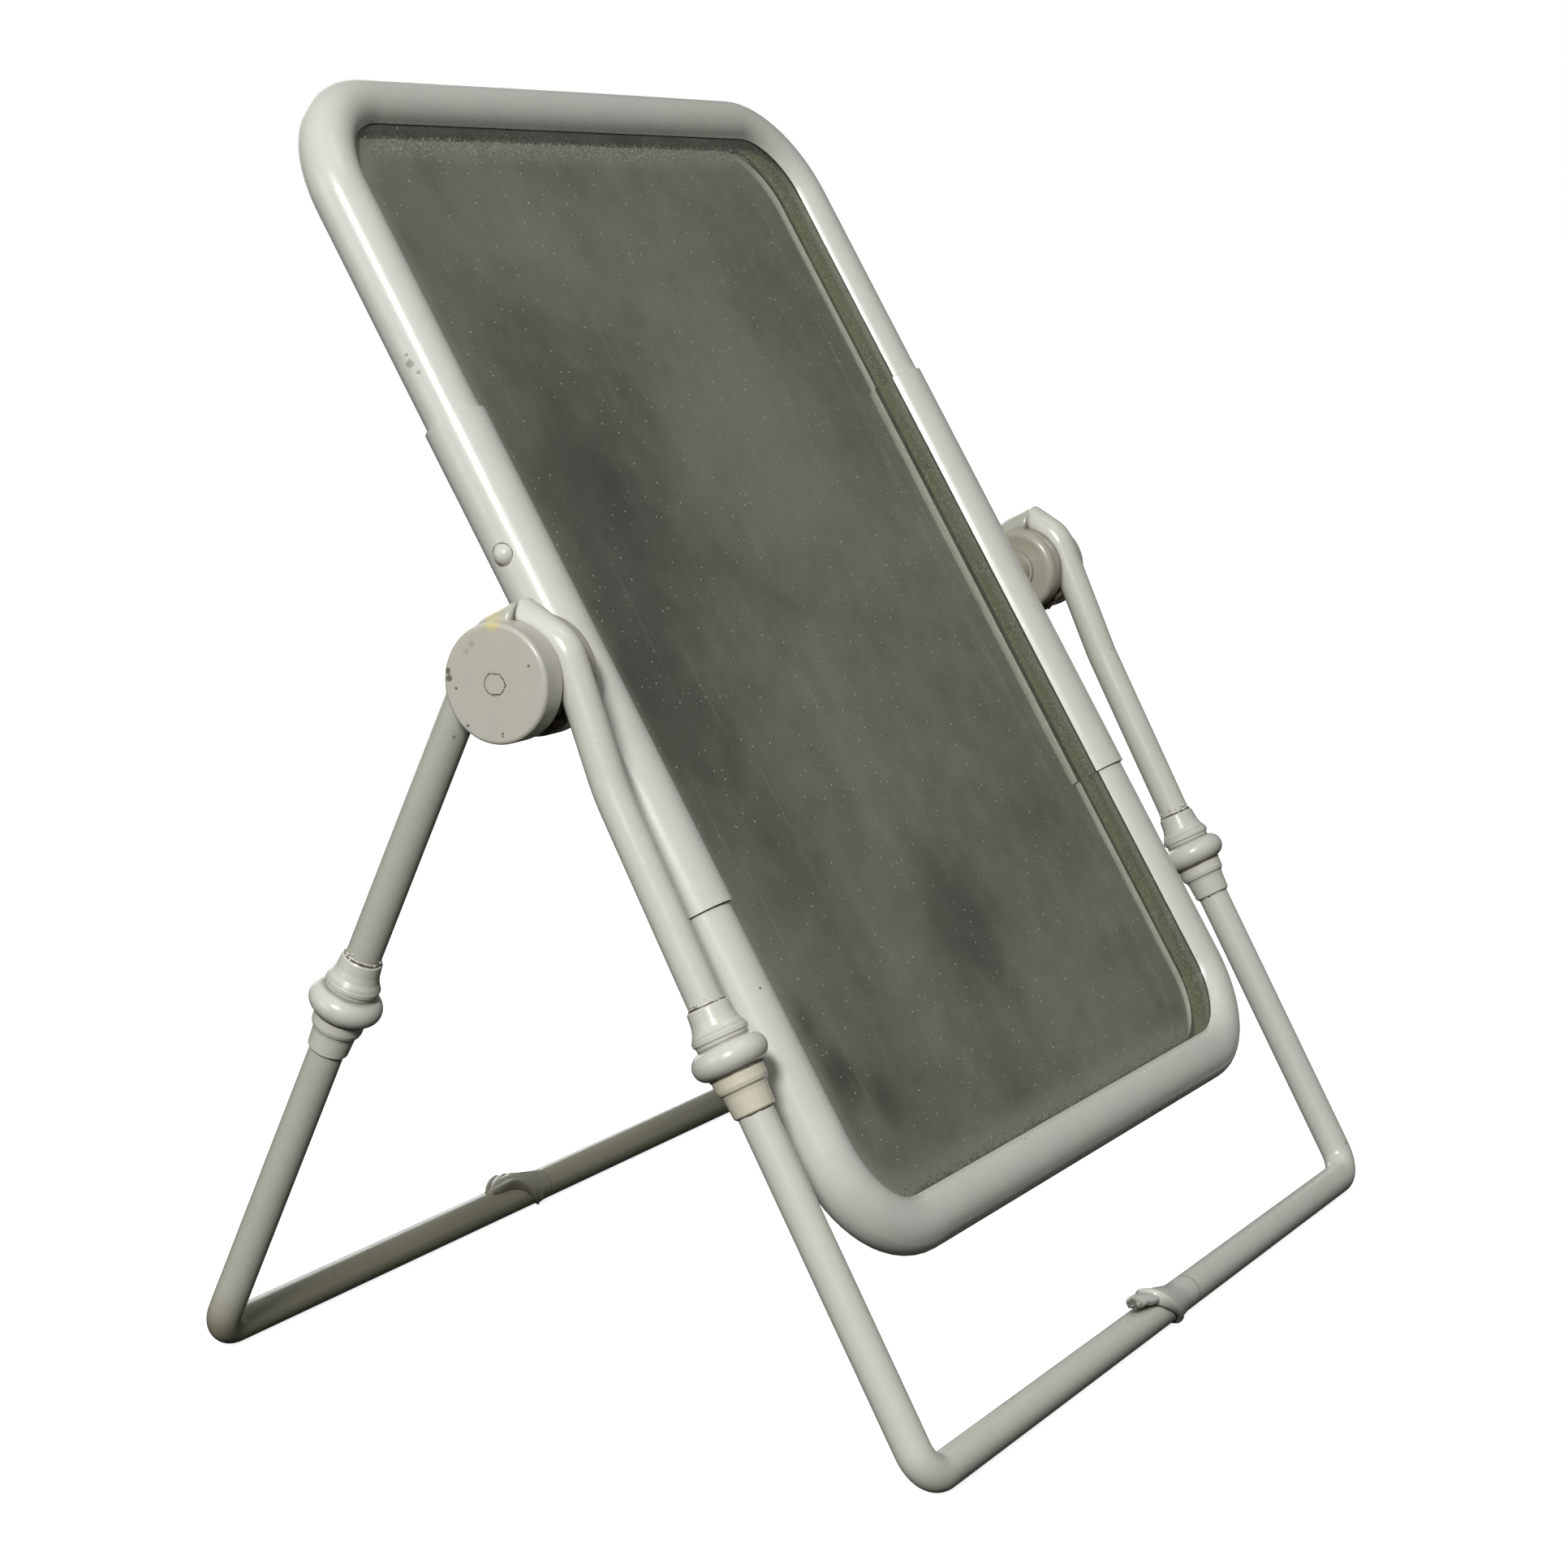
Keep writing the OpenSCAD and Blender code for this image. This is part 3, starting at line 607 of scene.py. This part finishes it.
slot_of = {row["node"]: row["material_slot"] for row in frame["record"]["subparts"]}
own_finish = {
    "mirror_glass": glass_finish,
    "rear_left_lower_tube": putty_foot,
    "front_left_collar": collar_finish("front_left_collar_enamel", -1, -1, 0.9, 0.1),
    "front_right_collar": collar_finish("front_right_collar_enamel", 1, -1, 0.15, 0.9),
    "rear_left_collar": collar_finish("rear_left_collar_enamel", -1, 1, 0.15, 0.5),
    "rear_right_collar": collar_finish("rear_right_collar_enamel", 1, 1, 0.15, 0.7),
}
slot_finish = {"paint": putty, "steel": steel_finish, "mirror": glass_finish, "board": card}
for node in nodes:
    finish = slot_finish[slot_of[node]]
    if "drum" in node or "stud" in node:
        finish = putty_drum
    if "disc" in node or "washer" in node or "spacer" in node:
        finish = putty_disc
    if "frame" in node or "sleeve" in node:
        finish = putty_frame
    if node.endswith("upper_rod"):
        finish = putty_rear_shaded if node.startswith("rear") else putty_front
    dress(node, own_finish.get(node, finish))

# ---- pieces ----


def grid_faces(rows, columns):
    """Quads of a grid that is closed round each row."""
    faces = []
    for i in range(rows - 1):
        near, far = i * columns, (i + 1) * columns
        for j in range(columns):
            k = (j + 1) % columns
            faces.append((near + j, near + k, far + k, far + j))
    return faces


def end_faces(rows, columns):
    """The faces that close such a grid at its first and last row."""
    return [tuple(range(columns)), tuple((rows - 1) * columns + k for k in range(columns))]


def round_angles(count):
    return np.linspace(0, 2 * math.pi, count, endpoint=False)


def add_piece(name, shapes, material, body):
    """One piece of closed shapes, each (vertices in millimetres, faces)."""
    vertices, faces = [], []
    for points, quads in shapes:
        start = len(vertices)
        vertices += [Vector(p) * MM for p in points]
        faces += [tuple(start + k for k in quad) for quad in quads]
    piece = make_mesh(name, vertices, faces)
    work = bmesh.new()
    work.from_mesh(piece.data)
    bmesh.ops.recalc_face_normals(work, faces=work.faces)
    work.to_mesh(piece.data)
    work.free()
    piece.data.materials.append(material)
    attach(piece, body)
    return piece


def swept(points, radii, ring=40, stretch=None, turn=Vector((0, 0, 1))):
    """Closed rod along points; stretch gives each section's width across the turn vector."""
    stretch = [1.0] * len(points) if stretch is None else stretch
    vertices = []
    points = [Vector(p) for p in points]
    for i, point in enumerate(points):
        ahead = points[min(i + 1, len(points) - 1)] - points[max(i - 1, 0)]
        side = ahead.cross(turn).normalized()
        top = side.cross(ahead).normalized()
        wide = radii[i] * stretch[i]
        for a in round_angles(ring):
            vertices.append(point + side * (wide * math.cos(a)) + top * (radii[i] * math.sin(a)))
    return vertices, grid_faces(len(points), ring) + end_faces(len(points), ring)


def loop_rod(points, radii, ring=10):
    """Closed ring of round section along a closed line of points."""
    count = len(points)
    points = [Vector(p) for p in points]
    middle = sum(points, Vector()) / count
    normal = (points[0] - middle).cross(points[count // 4] - middle).normalized()
    vertices = []
    for i, point in enumerate(points):
        ahead = (points[(i + 1) % count] - points[i - 1]).normalized()
        side = ahead.cross(normal).normalized()
        for a in round_angles(ring):
            vertices.append(point + side * (radii[i] * math.cos(a)) + normal * (radii[i] * math.sin(a)))
    faces = grid_faces(count, ring)
    last = (count - 1) * ring
    faces += [(last + j, last + (j + 1) % ring, (j + 1) % ring, j) for j in range(ring)]
    return vertices, faces


def smooth_random(count, knots, low, high):
    """Random closed curve of count values through a few knots."""
    values = rng.uniform(low, high, knots)
    where = np.arange(count) / count * knots
    base = where.astype(int)
    share = where - base
    share = share * share * (3 - 2 * share)
    return values[base % knots] * (1 - share) + values[(base + 1) % knots] * share


def ragged_ring(matrix, radius, height, thick, wander, ring=10, count=120):
    """Uneven bead of dirt or solder round a tube."""
    angles = round_angles(count)
    lift = smooth_random(count, 17, -wander, wander) + smooth_random(count, 41, -wander / 3, wander / 3)
    width = smooth_random(count, 29, thick * 0.55, thick * 1.3)
    points = []
    for a, dz in zip(angles, lift):
        points.append(matrix @ Vector((radius * math.cos(a), radius * math.sin(a), height + dz)))
    return loop_rod(points, width, ring)


def crumb(centre, size, flat=1.0):
    """Small rounded lump, never quite the same twice."""
    rows, columns = 8, 12
    vertices = []
    lumps = rng.uniform(0.75, 1.15, (rows + 1, columns))
    for i in range(1, rows):
        for j in range(columns):
            polar, around = math.pi * i / rows, 2 * math.pi * j / columns
            across = math.sin(polar)
            r = size * (0.7 * lumps[i, j] + 0.15 * lumps[i, j - 1] + 0.15 * lumps[i - 1, j])
            spot = Vector((across * math.cos(around), across * math.sin(around), flat * math.cos(polar)))
            vertices.append(Vector(centre) + spot * r)
    top, low = len(vertices), len(vertices) + 1
    vertices += [Vector(centre) + Vector((0, 0, flat * size)), Vector(centre) - Vector((0, 0, flat * size))]
    faces = grid_faces(rows - 1, columns)
    last = (rows - 2) * columns
    for j in range(columns):
        faces.append((top, (j + 1) % columns, j))
        faces.append((low, last + j, last + (j + 1) % columns))
    return vertices, faces


BODY = {-1: "front_stand", 1: "rear_stand"}
COLLAR_TOP, COLLAR_FOOT = 11.5, 12.4
for facing, word in ((-1, "front"), (1, "rear")):
    bead, lean = (FRONT_BEAD, FRONT_LEAN) if facing < 0 else (REAR_BEAD, REAR_LEAN)
    for side, hand in ((-1, "left"), (1, "right")):
        x = side * (FRONT_X if facing < 0 else REAR_X)
        foot = on_leg(x, facing, bead, lean)
        head = on_leg(x, facing, bead, front_rod_lean(side) if facing < 0 else lean)
        seams = [
            ragged_ring(head, TUBE_R + 0.12, COLLAR_TOP + 0.05, 0.24, 0.22),
            ragged_ring(foot, TUBE_R + 0.10, -COLLAR_FOOT - 0.03, 0.20, 0.10),
            ragged_ring(foot, TUBE_R + 2.02, -3.35, 0.16, 0.05),
        ]
        add_piece(f"{word}_{hand}_collar_seams", seams, seam_dirt_and_shade, BODY[facing])
        solder = [ragged_ring(head, TUBE_R - 0.02, COLLAR_TOP + 0.42, 0.17, 0.22)]
        for _ in range(16):
            around = rng.uniform(0, 2 * math.pi)
            out = TUBE_R + rng.uniform(0.02, 0.25)
            height = COLLAR_TOP + rng.uniform(-0.5, 1.6)
            centre = head @ Vector((out * math.cos(around), out * math.sin(around), height))
            solder.append(crumb(centre, rng.uniform(0.16, 0.42)))
        add_piece(f"{word}_{hand}_collar_solder", solder, putty_front, BODY[facing])

# ---- sockets of the floor bars ----

# the sockets are flat where they stand on the counter: nothing of them is lower than this
FLAT_FOOT = 0.02


def socket_shell(reach, mouth, swell, end, columns=96, rows=44):
    """Closed shell round a floor bar. mouth(a) is where its edge lies along X at angle a from the top,
    swell(x, a, m) how far it stands off the bar."""
    outer, inner = [], []
    angles = np.linspace(-math.pi, math.pi, columns, endpoint=False)
    edges = [mouth(a) for a in angles]
    steps = [0.0, 0.012, 0.03] + list(np.linspace(0.055, 1, rows - 3))
    drop = {0: 0.55, 1: 0.2, 2: 0.05}
    for i, u in enumerate(steps):
        for a, m in zip(angles, edges):
            x = m + u * (end - m)
            r = TUBE_R + 0.02 + swell(x, a, m) * (1 - drop.get(i, 0.0))
            outer.append((x, reach + r * math.sin(a), max(FLAT_FOOT, TUBE_R + r * math.cos(a))))
            inner.append((x, reach + 3.85 * math.sin(a), TUBE_R + 3.85 * math.cos(a)))
    total = len(steps)
    vertices = outer + inner
    shell = grid_faces(total, columns)
    offset = total * columns
    faces = shell + [tuple(offset + k for k in reversed(quad)) for quad in shell]
    for j in range(columns):
        k = (j + 1) % columns
        faces.append((j, offset + j, offset + k, k))
        last = (total - 1) * columns
        faces.append((last + j, last + k, offset + last + k, offset + last + j))
    return vertices, faces


def bell(x, low, peak, high):
    """Smooth hill, 0 outside low to high."""
    if x <= low or x >= high:
        return 0.0
    s = (x - low) / (peak - low) if x < peak else (high - x) / (high - peak)
    return s * s * (3 - 2 * s)


def front_mouth(a):
    """Slanted edge of the front socket, furthest out on top."""
    return -0.6 - 11.0 * (0.5 + 0.5 * math.cos(a)) ** 1.5 + 0.3 * math.sin(2.0 * a)


def front_swell(x, a, m):
    """Swelling of the front socket on top and below, with a lip at its mouth."""
    top = 0.5 + 0.5 * math.cos(a)
    body = 2.3 * bell(x, -24, -9.5, 6.0) * top + 0.55 * bell(x, -7, 0.5, 7.5) * (1 - top)
    lip = 1.05 * bell(x - m, -0.5, 1.1, 3.2) * (0.6 + 0.4 * math.cos(a + 0.5))
    return body + lip


# the rear socket as arcs over the bar: where along X, how far round each side it reaches, its height
REAR_ARCH = (
    (-17.4, 12, 0.45),
    (-16.6, 20, 0.75),
    (-15.2, 26, 1.25),
    (-12.8, 30, 2.25),
    (-10.0, 32, 2.80),
    (-7.4, 40, 2.70),
    (-5.0, 58, 2.25),
    (-3.0, 84, 1.80),
    (-1.4, 108, 1.45),
    (0.4, 132, 1.10),
    (1.8, 148, 0.90),
    (3.2, 160, 0.60),
    (5.0, 170, 0.25),
    (7.0, 176, 0.03),
)


def eased(arch, column, xs):
    """One column of an arch table along xs, its corners smoothed away."""
    table_x = [row[0] for row in arch]
    values = np.interp(xs, table_x, [row[column] for row in arch])
    for _ in range(3):
        values[1:-1] = (values[:-2] + values[1:-1] * 2 + values[2:]) / 4
        values[2:-2] = (values[:-4] + values[2:-2] * 2 + values[4:]) / 4
    return values


def saddle_shell(reach, arch, columns=64, rows=72):
    """Closed strip laid over the bar, its long edges rounded, with a ridge along each."""
    xs = np.linspace(arch[0][0], arch[-1][0], rows)
    outer, inner = [], []
    for x, turn, high in zip(xs, eased(arch, 1, xs), eased(arch, 2, xs)):
        spread = math.radians(turn)
        fade = min(1.0, (xs[-1] - x) / 4.0)
        start = min(1.0, 0.1 + (x - xs[0]) / 1.6) ** 0.6
        for a in np.linspace(-spread, spread, columns):
            inside = (spread - abs(a)) * (TUBE_R + high)
            round_off = min(1.0, inside / 0.5) ** 0.5
            ridge = 0.42 * bell(inside, -0.6, 0.75, 1.7) - 0.15 * bell(inside, 1.3, 1.9, 2.5)
            ridge += 0.16 * bell(inside, 2.2, 3.0, 3.9) - 0.10 * bell(inside, 3.6, 4.1, 4.7)
            lump = 0.35 * bell(x, -1.0, 1.8, 4.4) * bell(abs(a), 1.3, 2.0, 2.8)
            over = (high * (0.55 + 0.45 * math.cos(a)) + ridge * fade + lump) * round_off * start
            r = TUBE_R + 0.03 + max(0.0, over)
            outer.append((x, reach + r * math.sin(a), max(FLAT_FOOT, TUBE_R + r * math.cos(a))))
            inner.append((x, reach + 3.7 * math.sin(a), TUBE_R + 3.7 * math.cos(a)))
    offset = rows * columns
    faces = []
    for i in range(rows - 1):
        for j in range(columns - 1):
            near, far = i * columns + j, (i + 1) * columns + j
            quad = (near, near + 1, far + 1, far)
            faces += [quad, tuple(offset + k for k in reversed(quad))]
        for j in (0, columns - 1):
            near, far = i * columns + j, (i + 1) * columns + j
            faces.append((near, far, offset + far, offset + near))
    for i in (0, rows - 1):
        for j in range(columns - 1):
            near = i * columns + j
            faces.append((near, near + 1, offset + near + 1, offset + near))
    return outer + inner, faces


def right_tube(facing, x, reach, lean, collar_at, joint_x):
    """Rod of the right half of a foot, from inside its socket round the corner and up the leg."""
    along = Vector((0, -facing * math.sin(lean), math.cos(lean)))
    corner = Vector((x, facing * reach, TUBE_R))
    bar_xs = np.linspace(joint_x + 5.3, x - FOOT_BEND_R, 30)
    points = [Vector((px, facing * reach, TUBE_R)) for px in bar_xs]
    bend_x, bend_up = Vector((FOOT_BEND_R, 0, 0)), along * FOOT_BEND_R
    for a in np.linspace(0, math.pi / 2, 18)[1:-1]:
        points.append(corner - bend_x + bend_up + bend_x * math.sin(a) - bend_up * math.cos(a))
    points += [corner + along * d for d in np.linspace(FOOT_BEND_R, collar_at - 0.2, 24)]
    return swept(points, [TUBE_R] * len(points), 48, turn=Vector((0, 1, 0.02)))


# the spout of the front socket: along X, height above the bar's middle, half thickness, width to thickness
TONGUE = (
    (-7.5, 4.4, 1.3, 2.2),
    (-10.0, 5.0, 1.4, 2.1),
    (-12.5, 5.5, 1.45, 2.0),
    (-15.0, 5.9, 1.4, 1.9),
    (-17.0, 6.2, 1.35, 1.8),
    (-19.0, 6.4, 1.3, 1.7),
    (-20.8, 6.5, 1.1, 1.6),
    (-22.0, 6.5, 0.75, 1.5),
    (-22.7, 6.4, 0.3, 1.4),
)


def tongue(reach):
    """Flattened spout that stands clear of the bar, a little uneven."""
    count = len(TONGUE)
    fine = np.linspace(0, count - 1, 40)
    xs, heights, thick, wide = (np.interp(fine, range(count), column) for column in zip(*TONGUE))
    ys = reach + 0.2 * np.sin(fine * 1.7)
    zs = TUBE_R + heights + 0.12 * np.sin(fine * 2.3)
    return swept(list(zip(xs, ys, zs)), thick * (1 + 0.05 * np.sin(fine * 3.1)), 28, wide)


front_bar = add_piece(
    "front_right_bar",
    [
        right_tube(-1, FRONT_X, FRONT_REACH, FRONT_LEAN, FRONT_COLLAR, 0),
        socket_shell(-FRONT_REACH, front_mouth, front_swell, 11.5),
        tongue(-FRONT_REACH),
    ],
    putty_foot_front,
    "front_stand",
)
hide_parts("front_right_lower_tube")
rear_bar = add_piece(
    "rear_right_bar",
    [
        right_tube(1, REAR_X, REAR_REACH, REAR_LEAN, REAR_COLLAR, -5),
        saddle_shell(REAR_REACH, REAR_ARCH),
    ],
    putty_foot,
    "rear_stand",
)
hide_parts("rear_right_lower_tube")


def mouth_seam(reach, mouth, gap, thick):
    """Dark line where the bar goes into the socket."""
    angles = np.linspace(-math.pi, math.pi, 140, endpoint=False)
    points = []
    for a in angles:
        height = max(0.3, TUBE_R + TUBE_R * math.cos(a))
        points.append((mouth(a) - gap, reach + TUBE_R * math.sin(a), height))
    return loop_rod(points, smooth_random(140, 31, thick * 0.6, thick * 1.3), 8)


front_line = mouth_seam(-FRONT_REACH, front_mouth, 0.05, 0.20)
add_piece("front_socket_seam", [front_line], seam_dirt_and_shade, "front_stand")
SEAM_R = 4.02
seam_xs = np.linspace(-16.4, -3.2, 60)
rear_seams = []
for hand_side in (-1, 1):
    line = []
    for x, turn in zip(seam_xs, eased(REAR_ARCH, 1, seam_xs)):
        spread = math.radians(turn)
        y = REAR_REACH + hand_side * SEAM_R * math.sin(spread)
        line.append((x, y, TUBE_R + SEAM_R * math.cos(spread)))
    rear_seams.append(swept(line, [0.16] * len(line), 8))
add_piece("rear_socket_seam", rear_seams, seam_dirt_and_shade, "rear_stand")

# ---- hooked rods, their tips rounded where they butt over the hubs ----

HOOKS = {-1: (13.3, math.radians(29)), 1: (12.3, math.radians(26))}
HOOK_BEND_R = 7.5
KNEE_R = 60.0
TIP_GAP = 0.08


def rounded_line(corners, radii, step):
    """Points along a line of corners in a plane, its inner corners rounded."""
    points = [np.array(corners[0], float)]
    for i, r in enumerate(radii, start=1):
        a, b, c = (np.array(corners[k], float) for k in (i - 1, i, i + 1))
        p, q = (b - a) / np.linalg.norm(b - a), (c - b) / np.linalg.norm(c - b)
        turn = math.atan2(p[0] * q[1] - p[1] * q[0], float(p @ q))
        cut = r * math.tan(abs(turn) / 2)
        start = b - p * cut
        run = np.linalg.norm(start - points[-1])
        points += [points[-1] + p * d for d in np.linspace(0, run, max(2, int(run / step)))[1:]]
        normal = np.array([-p[1], p[0]]) * (1 if turn > 0 else -1)
        for k in np.linspace(0, abs(turn), max(6, int(abs(turn) * 14)))[1:]:
            points.append(start + normal * r * (1 - math.cos(k)) + p * r * math.sin(k))
        end = np.array(corners[i + 1], float)
    run = np.linalg.norm(end - points[-1])
    q = (end - points[-1]) / run
    points += [points[-1] + q * d for d in np.linspace(0, run, max(2, int(run / step)))[1:]]
    return points


def hooked_rod(side, facing):
    """Closed rod from inside its collar to the butt over the hub, in millimetres."""
    x = side * (FRONT_X if facing < 0 else REAR_X)
    bead = FRONT_BEAD if facing < 0 else REAR_BEAD
    high, fall = HOOKS[facing]
    offset, lean = FRONT_TOPS[side] if facing < 0 else (REAR_OFFSET, REAR_LEAN)
    out = (offset - high * math.sin(lean)) / (math.cos(lean) - math.tan(fall) * math.sin(lean))
    beyond = 6.0
    bend = (out, high - out * math.tan(fall))
    corners, radii = [bead, bend, (-beyond, high + beyond * math.tan(fall))], [HOOK_BEND_R]
    if facing < 0:
        knee = ((offset - FRONT_KNEE_Z * math.sin(lean)) / math.cos(lean), FRONT_KNEE_Z)
        corners, radii = [bead, knee] + corners[1:], [KNEE_R, HOOK_BEND_R]
    points = rounded_line(corners, radii, 2.0)
    heading = (points[-1] - points[-2]) / np.linalg.norm(points[-1] - points[-2])
    normal = np.array([-heading[1], heading[0]])
    edge = TIP_GAP + TUBE_R * math.tan(fall) + 2.0
    points = [p for p in points if p[0] > edge or p[1] < 0]
    ring = 48
    angles = round_angles(ring)
    vertices = []
    for i, p in enumerate(points):
        ahead = points[min(i + 1, len(points) - 1)] - points[max(i - 1, 0)]
        ahead = ahead / np.linalg.norm(ahead)
        across = np.array([-ahead[1], ahead[0]])
        for a in angles:
            spot = p + across * TUBE_R * math.cos(a)
            vertices.append((x + TUBE_R * math.sin(a), facing * spot[0], PIVOT_H + spot[1]))
    # tip: the same section run on to the upright butt face, its edge rounded
    last = points[-1]
    caps = [(4.0, 1.8), (3.96, 1.35), (3.84, 0.92), (3.6, 0.52), (3.2, 0.2), (2.7, 0.04), (1.6, 0.0)]
    for wide, back_off in caps:
        for a in angles:
            spot = last + normal * wide * math.cos(a)
            spot = spot + heading * (spot[0] - TIP_GAP - back_off) / -heading[0]
            vertices.append((x + wide * math.sin(a), facing * spot[0], PIVOT_H + spot[1]))
    rows = len(points) + len(caps)
    return vertices, grid_faces(rows, ring) + end_faces(rows, ring)


for facing, word in ((-1, "front"), (1, "rear")):
    for side, hand in ((-1, "left"), (1, "right")):
        enamel = putty_front if facing < 0 else putty_rear_shaded
        rod = add_piece(f"{word}_{hand}_hooked_rod", [hooked_rod(side, facing)], enamel, BODY[facing])
        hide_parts(f"{word}_{hand}_upper_rod")

# ---- mirror frame: seams at the sleeve ends ----

SLEEVE_END = 60.06
for side, hand in ((-1, "left"), (1, "right")):
    upright = Matrix.Translation((side * FRAME_X, 0, PIVOT_H)) @ Matrix.Rotation(-TILT, 4, "X")
    seams = [ragged_ring(upright, 6.40, v, 0.14, 0.05) for v in (-SLEEVE_END, SLEEVE_END)]
    add_piece(f"{hand}_sleeve_seams", seams, seam_dirt_and_shade, "mirror")


def turned(outline, ring=96):
    """Closed turned shape about the pivot axis from (x, r) points, millimetres."""
    angles = round_angles(ring)
    vertices = [(x, r * math.sin(a), PIVOT_H + r * math.cos(a)) for x, r in outline for a in angles]
    return vertices, grid_faces(len(outline), ring) + end_faces(len(outline), ring)


def rounded_rim(x, r, round_r, direction, steps):
    """Quarter round at the rim of a turned shape, ending on the face at x."""
    middle_x, middle_r = x - direction * round_r, r - round_r
    quarter = np.linspace(0, math.pi / 2, steps)
    return [(middle_x + direction * round_r * math.sin(a), middle_r + round_r * math.cos(a)) for a in quarter]


# the right disc and drum, a little smaller than the CAD's, as they look in the photo
DISC_BACK, DISC_FACE, DISC_R = 124.0, 117.3, 11.4
disc_outline = [(DISC_BACK, 3.0), (DISC_BACK, DISC_R - 0.3), (DISC_BACK - 0.3, DISC_R)]
disc_outline += rounded_rim(DISC_FACE, DISC_R, 1.8, -1, 10)
disc_outline += [(117.36, DISC_R - 2.4), (117.55, DISC_R - 3.0), (117.55, 3.0)]
right_disc = add_piece("right_disc_face", [turned(disc_outline)], putty_disc, "front_stand")
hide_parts("right_inner_disc")
DRUM_BACK, DRUM_R = 131.9, 11.6
HUB_END, HUB_R = 124.3, 6.1
drum_outline = [(HUB_END, 2.5), (HUB_END, HUB_R), (DRUM_BACK, HUB_R)]
drum_outline += [(DRUM_BACK, DRUM_R - 0.2), (DRUM_BACK + 0.2, DRUM_R)]
drum_outline += rounded_rim(DRUM_FACE, DRUM_R, 0.9, 1, 8) + [(DRUM_FACE, 2.9)]
right_drum = add_piece("right_drum_shell", [turned(drum_outline)], putty_drum, "rear_stand")
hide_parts("right_outer_drum")

# ---- mirror frame: painted shadow rings round the screw heads ----

SCREW_UP, HEAD_R, SLEEVE_R = 28.0, 2.5, 7.2
for side, hand in ((-1, "left"), (1, "right")):
    seams = []
    for v in (-SCREW_UP, SCREW_UP):
        line = []
        for a in round_angles(60):
            out = HEAD_R * math.sin(a)
            across = FRAME_X + math.sqrt(SLEEVE_R**2 - out**2)
            line.append(on_mirror(side * across, v + HEAD_R * math.cos(a), out) / MM)
        seams.append(loop_rod(line, smooth_random(60, 13, 0.04, 0.12), 8))
    add_piece(f"{hand}_screw_shadow_rings", seams, seam_dirt_and_shade, "mirror")

# ---- pivots: painted-over stud end; dark solder at the hubs, partly painted shade under them ----

STUD_R = 2.15
for side, hand in ((-1, "left"), (1, "right")):
    hexagon = []
    for a in round_angles(96):
        sector = (a + math.pi / 6) % (math.pi / 3) - math.pi / 6
        r = STUD_R / math.cos(sector) ** 0.8
        hexagon.append((r * 1.12 * math.sin(a), r * math.cos(a)))
    jitter = 1 + smooth_random(96, 37, -0.10, 0.10) / 2
    outline = [(side * DRUM_FACE, y * k, PIVOT_H + z * k) for (y, z), k in zip(hexagon, jitter)]
    ring = loop_rod(outline, smooth_random(96, 23, 0.05, 0.15), 8)
    add_piece(f"{hand}_stud_outline", [ring], seam_dirt_and_shade, "rear_stand")

# dark solder lumps along the bottom of each hub, towards the front; they are also painted shade for the dark under
# the hub and disc
for side, hand in ((-1, "left"), (1, "right")):
    arc = []
    for k, a in enumerate(np.radians(np.linspace(-82, -28, 60))):
        out = 11.5 + 0.35 * math.sin(k * 0.9) + rng.uniform(-0.12, 0.12)
        across = side * (125.9 + 0.5 * math.sin(k * 0.37))
        arc.append((across, -out * math.cos(a), PIVOT_H + out * math.sin(a)))
    fat = smooth_random(60, 19, 0.45, 1.25) * np.sin(np.linspace(0.15, math.pi - 0.15, 60)) ** 0.5
    lumps = [swept(arc, list(fat), 14, turn=Vector((1, 0, 0)))]
    for _ in range(7):
        k = rng.integers(8, 34)
        drop = Vector(arc[k]) + Vector((0, 0, -fat[k] * 0.7))
        lumps.append(crumb(drop, rng.uniform(0.25, 0.5), rng.uniform(1.2, 2.2)))
    add_piece(f"{hand}_hub_solder_and_shade", lumps, seam_dirt_and_shade, "front_stand")

# ---- silvering inside the back of the glass ----


def silver_sheet():
    """Thin rounded plate just inside the back face of the glass."""
    corner = 22.0
    middle_x, middle_v = 107.2 - corner, 141.0 - corner
    ring = []
    for cx, cy, start in ((1, 1, 0), (-1, 1, 90), (-1, -1, 180), (1, -1, 270)):
        for a in np.radians(np.linspace(start, start + 90, 16)):
            ring.append((cx * middle_x + corner * math.cos(a), cy * middle_v + corner * math.sin(a)))
    count = len(ring)
    vertices = [on_mirror(px, v, out) / MM for out in (-0.55, -0.62) for px, v in ring]
    faces = [tuple(range(count)), tuple(reversed(range(count, 2 * count)))]
    faces += [(k, (k + 1) % count, count + (k + 1) % count, count + k) for k in range(count)]
    return vertices, faces


sheet = add_piece("silvering", [silver_sheet()], silver_finish, "mirror")
sheet.data.polygons.foreach_set("use_smooth", [False] * len(sheet.data.polygons))
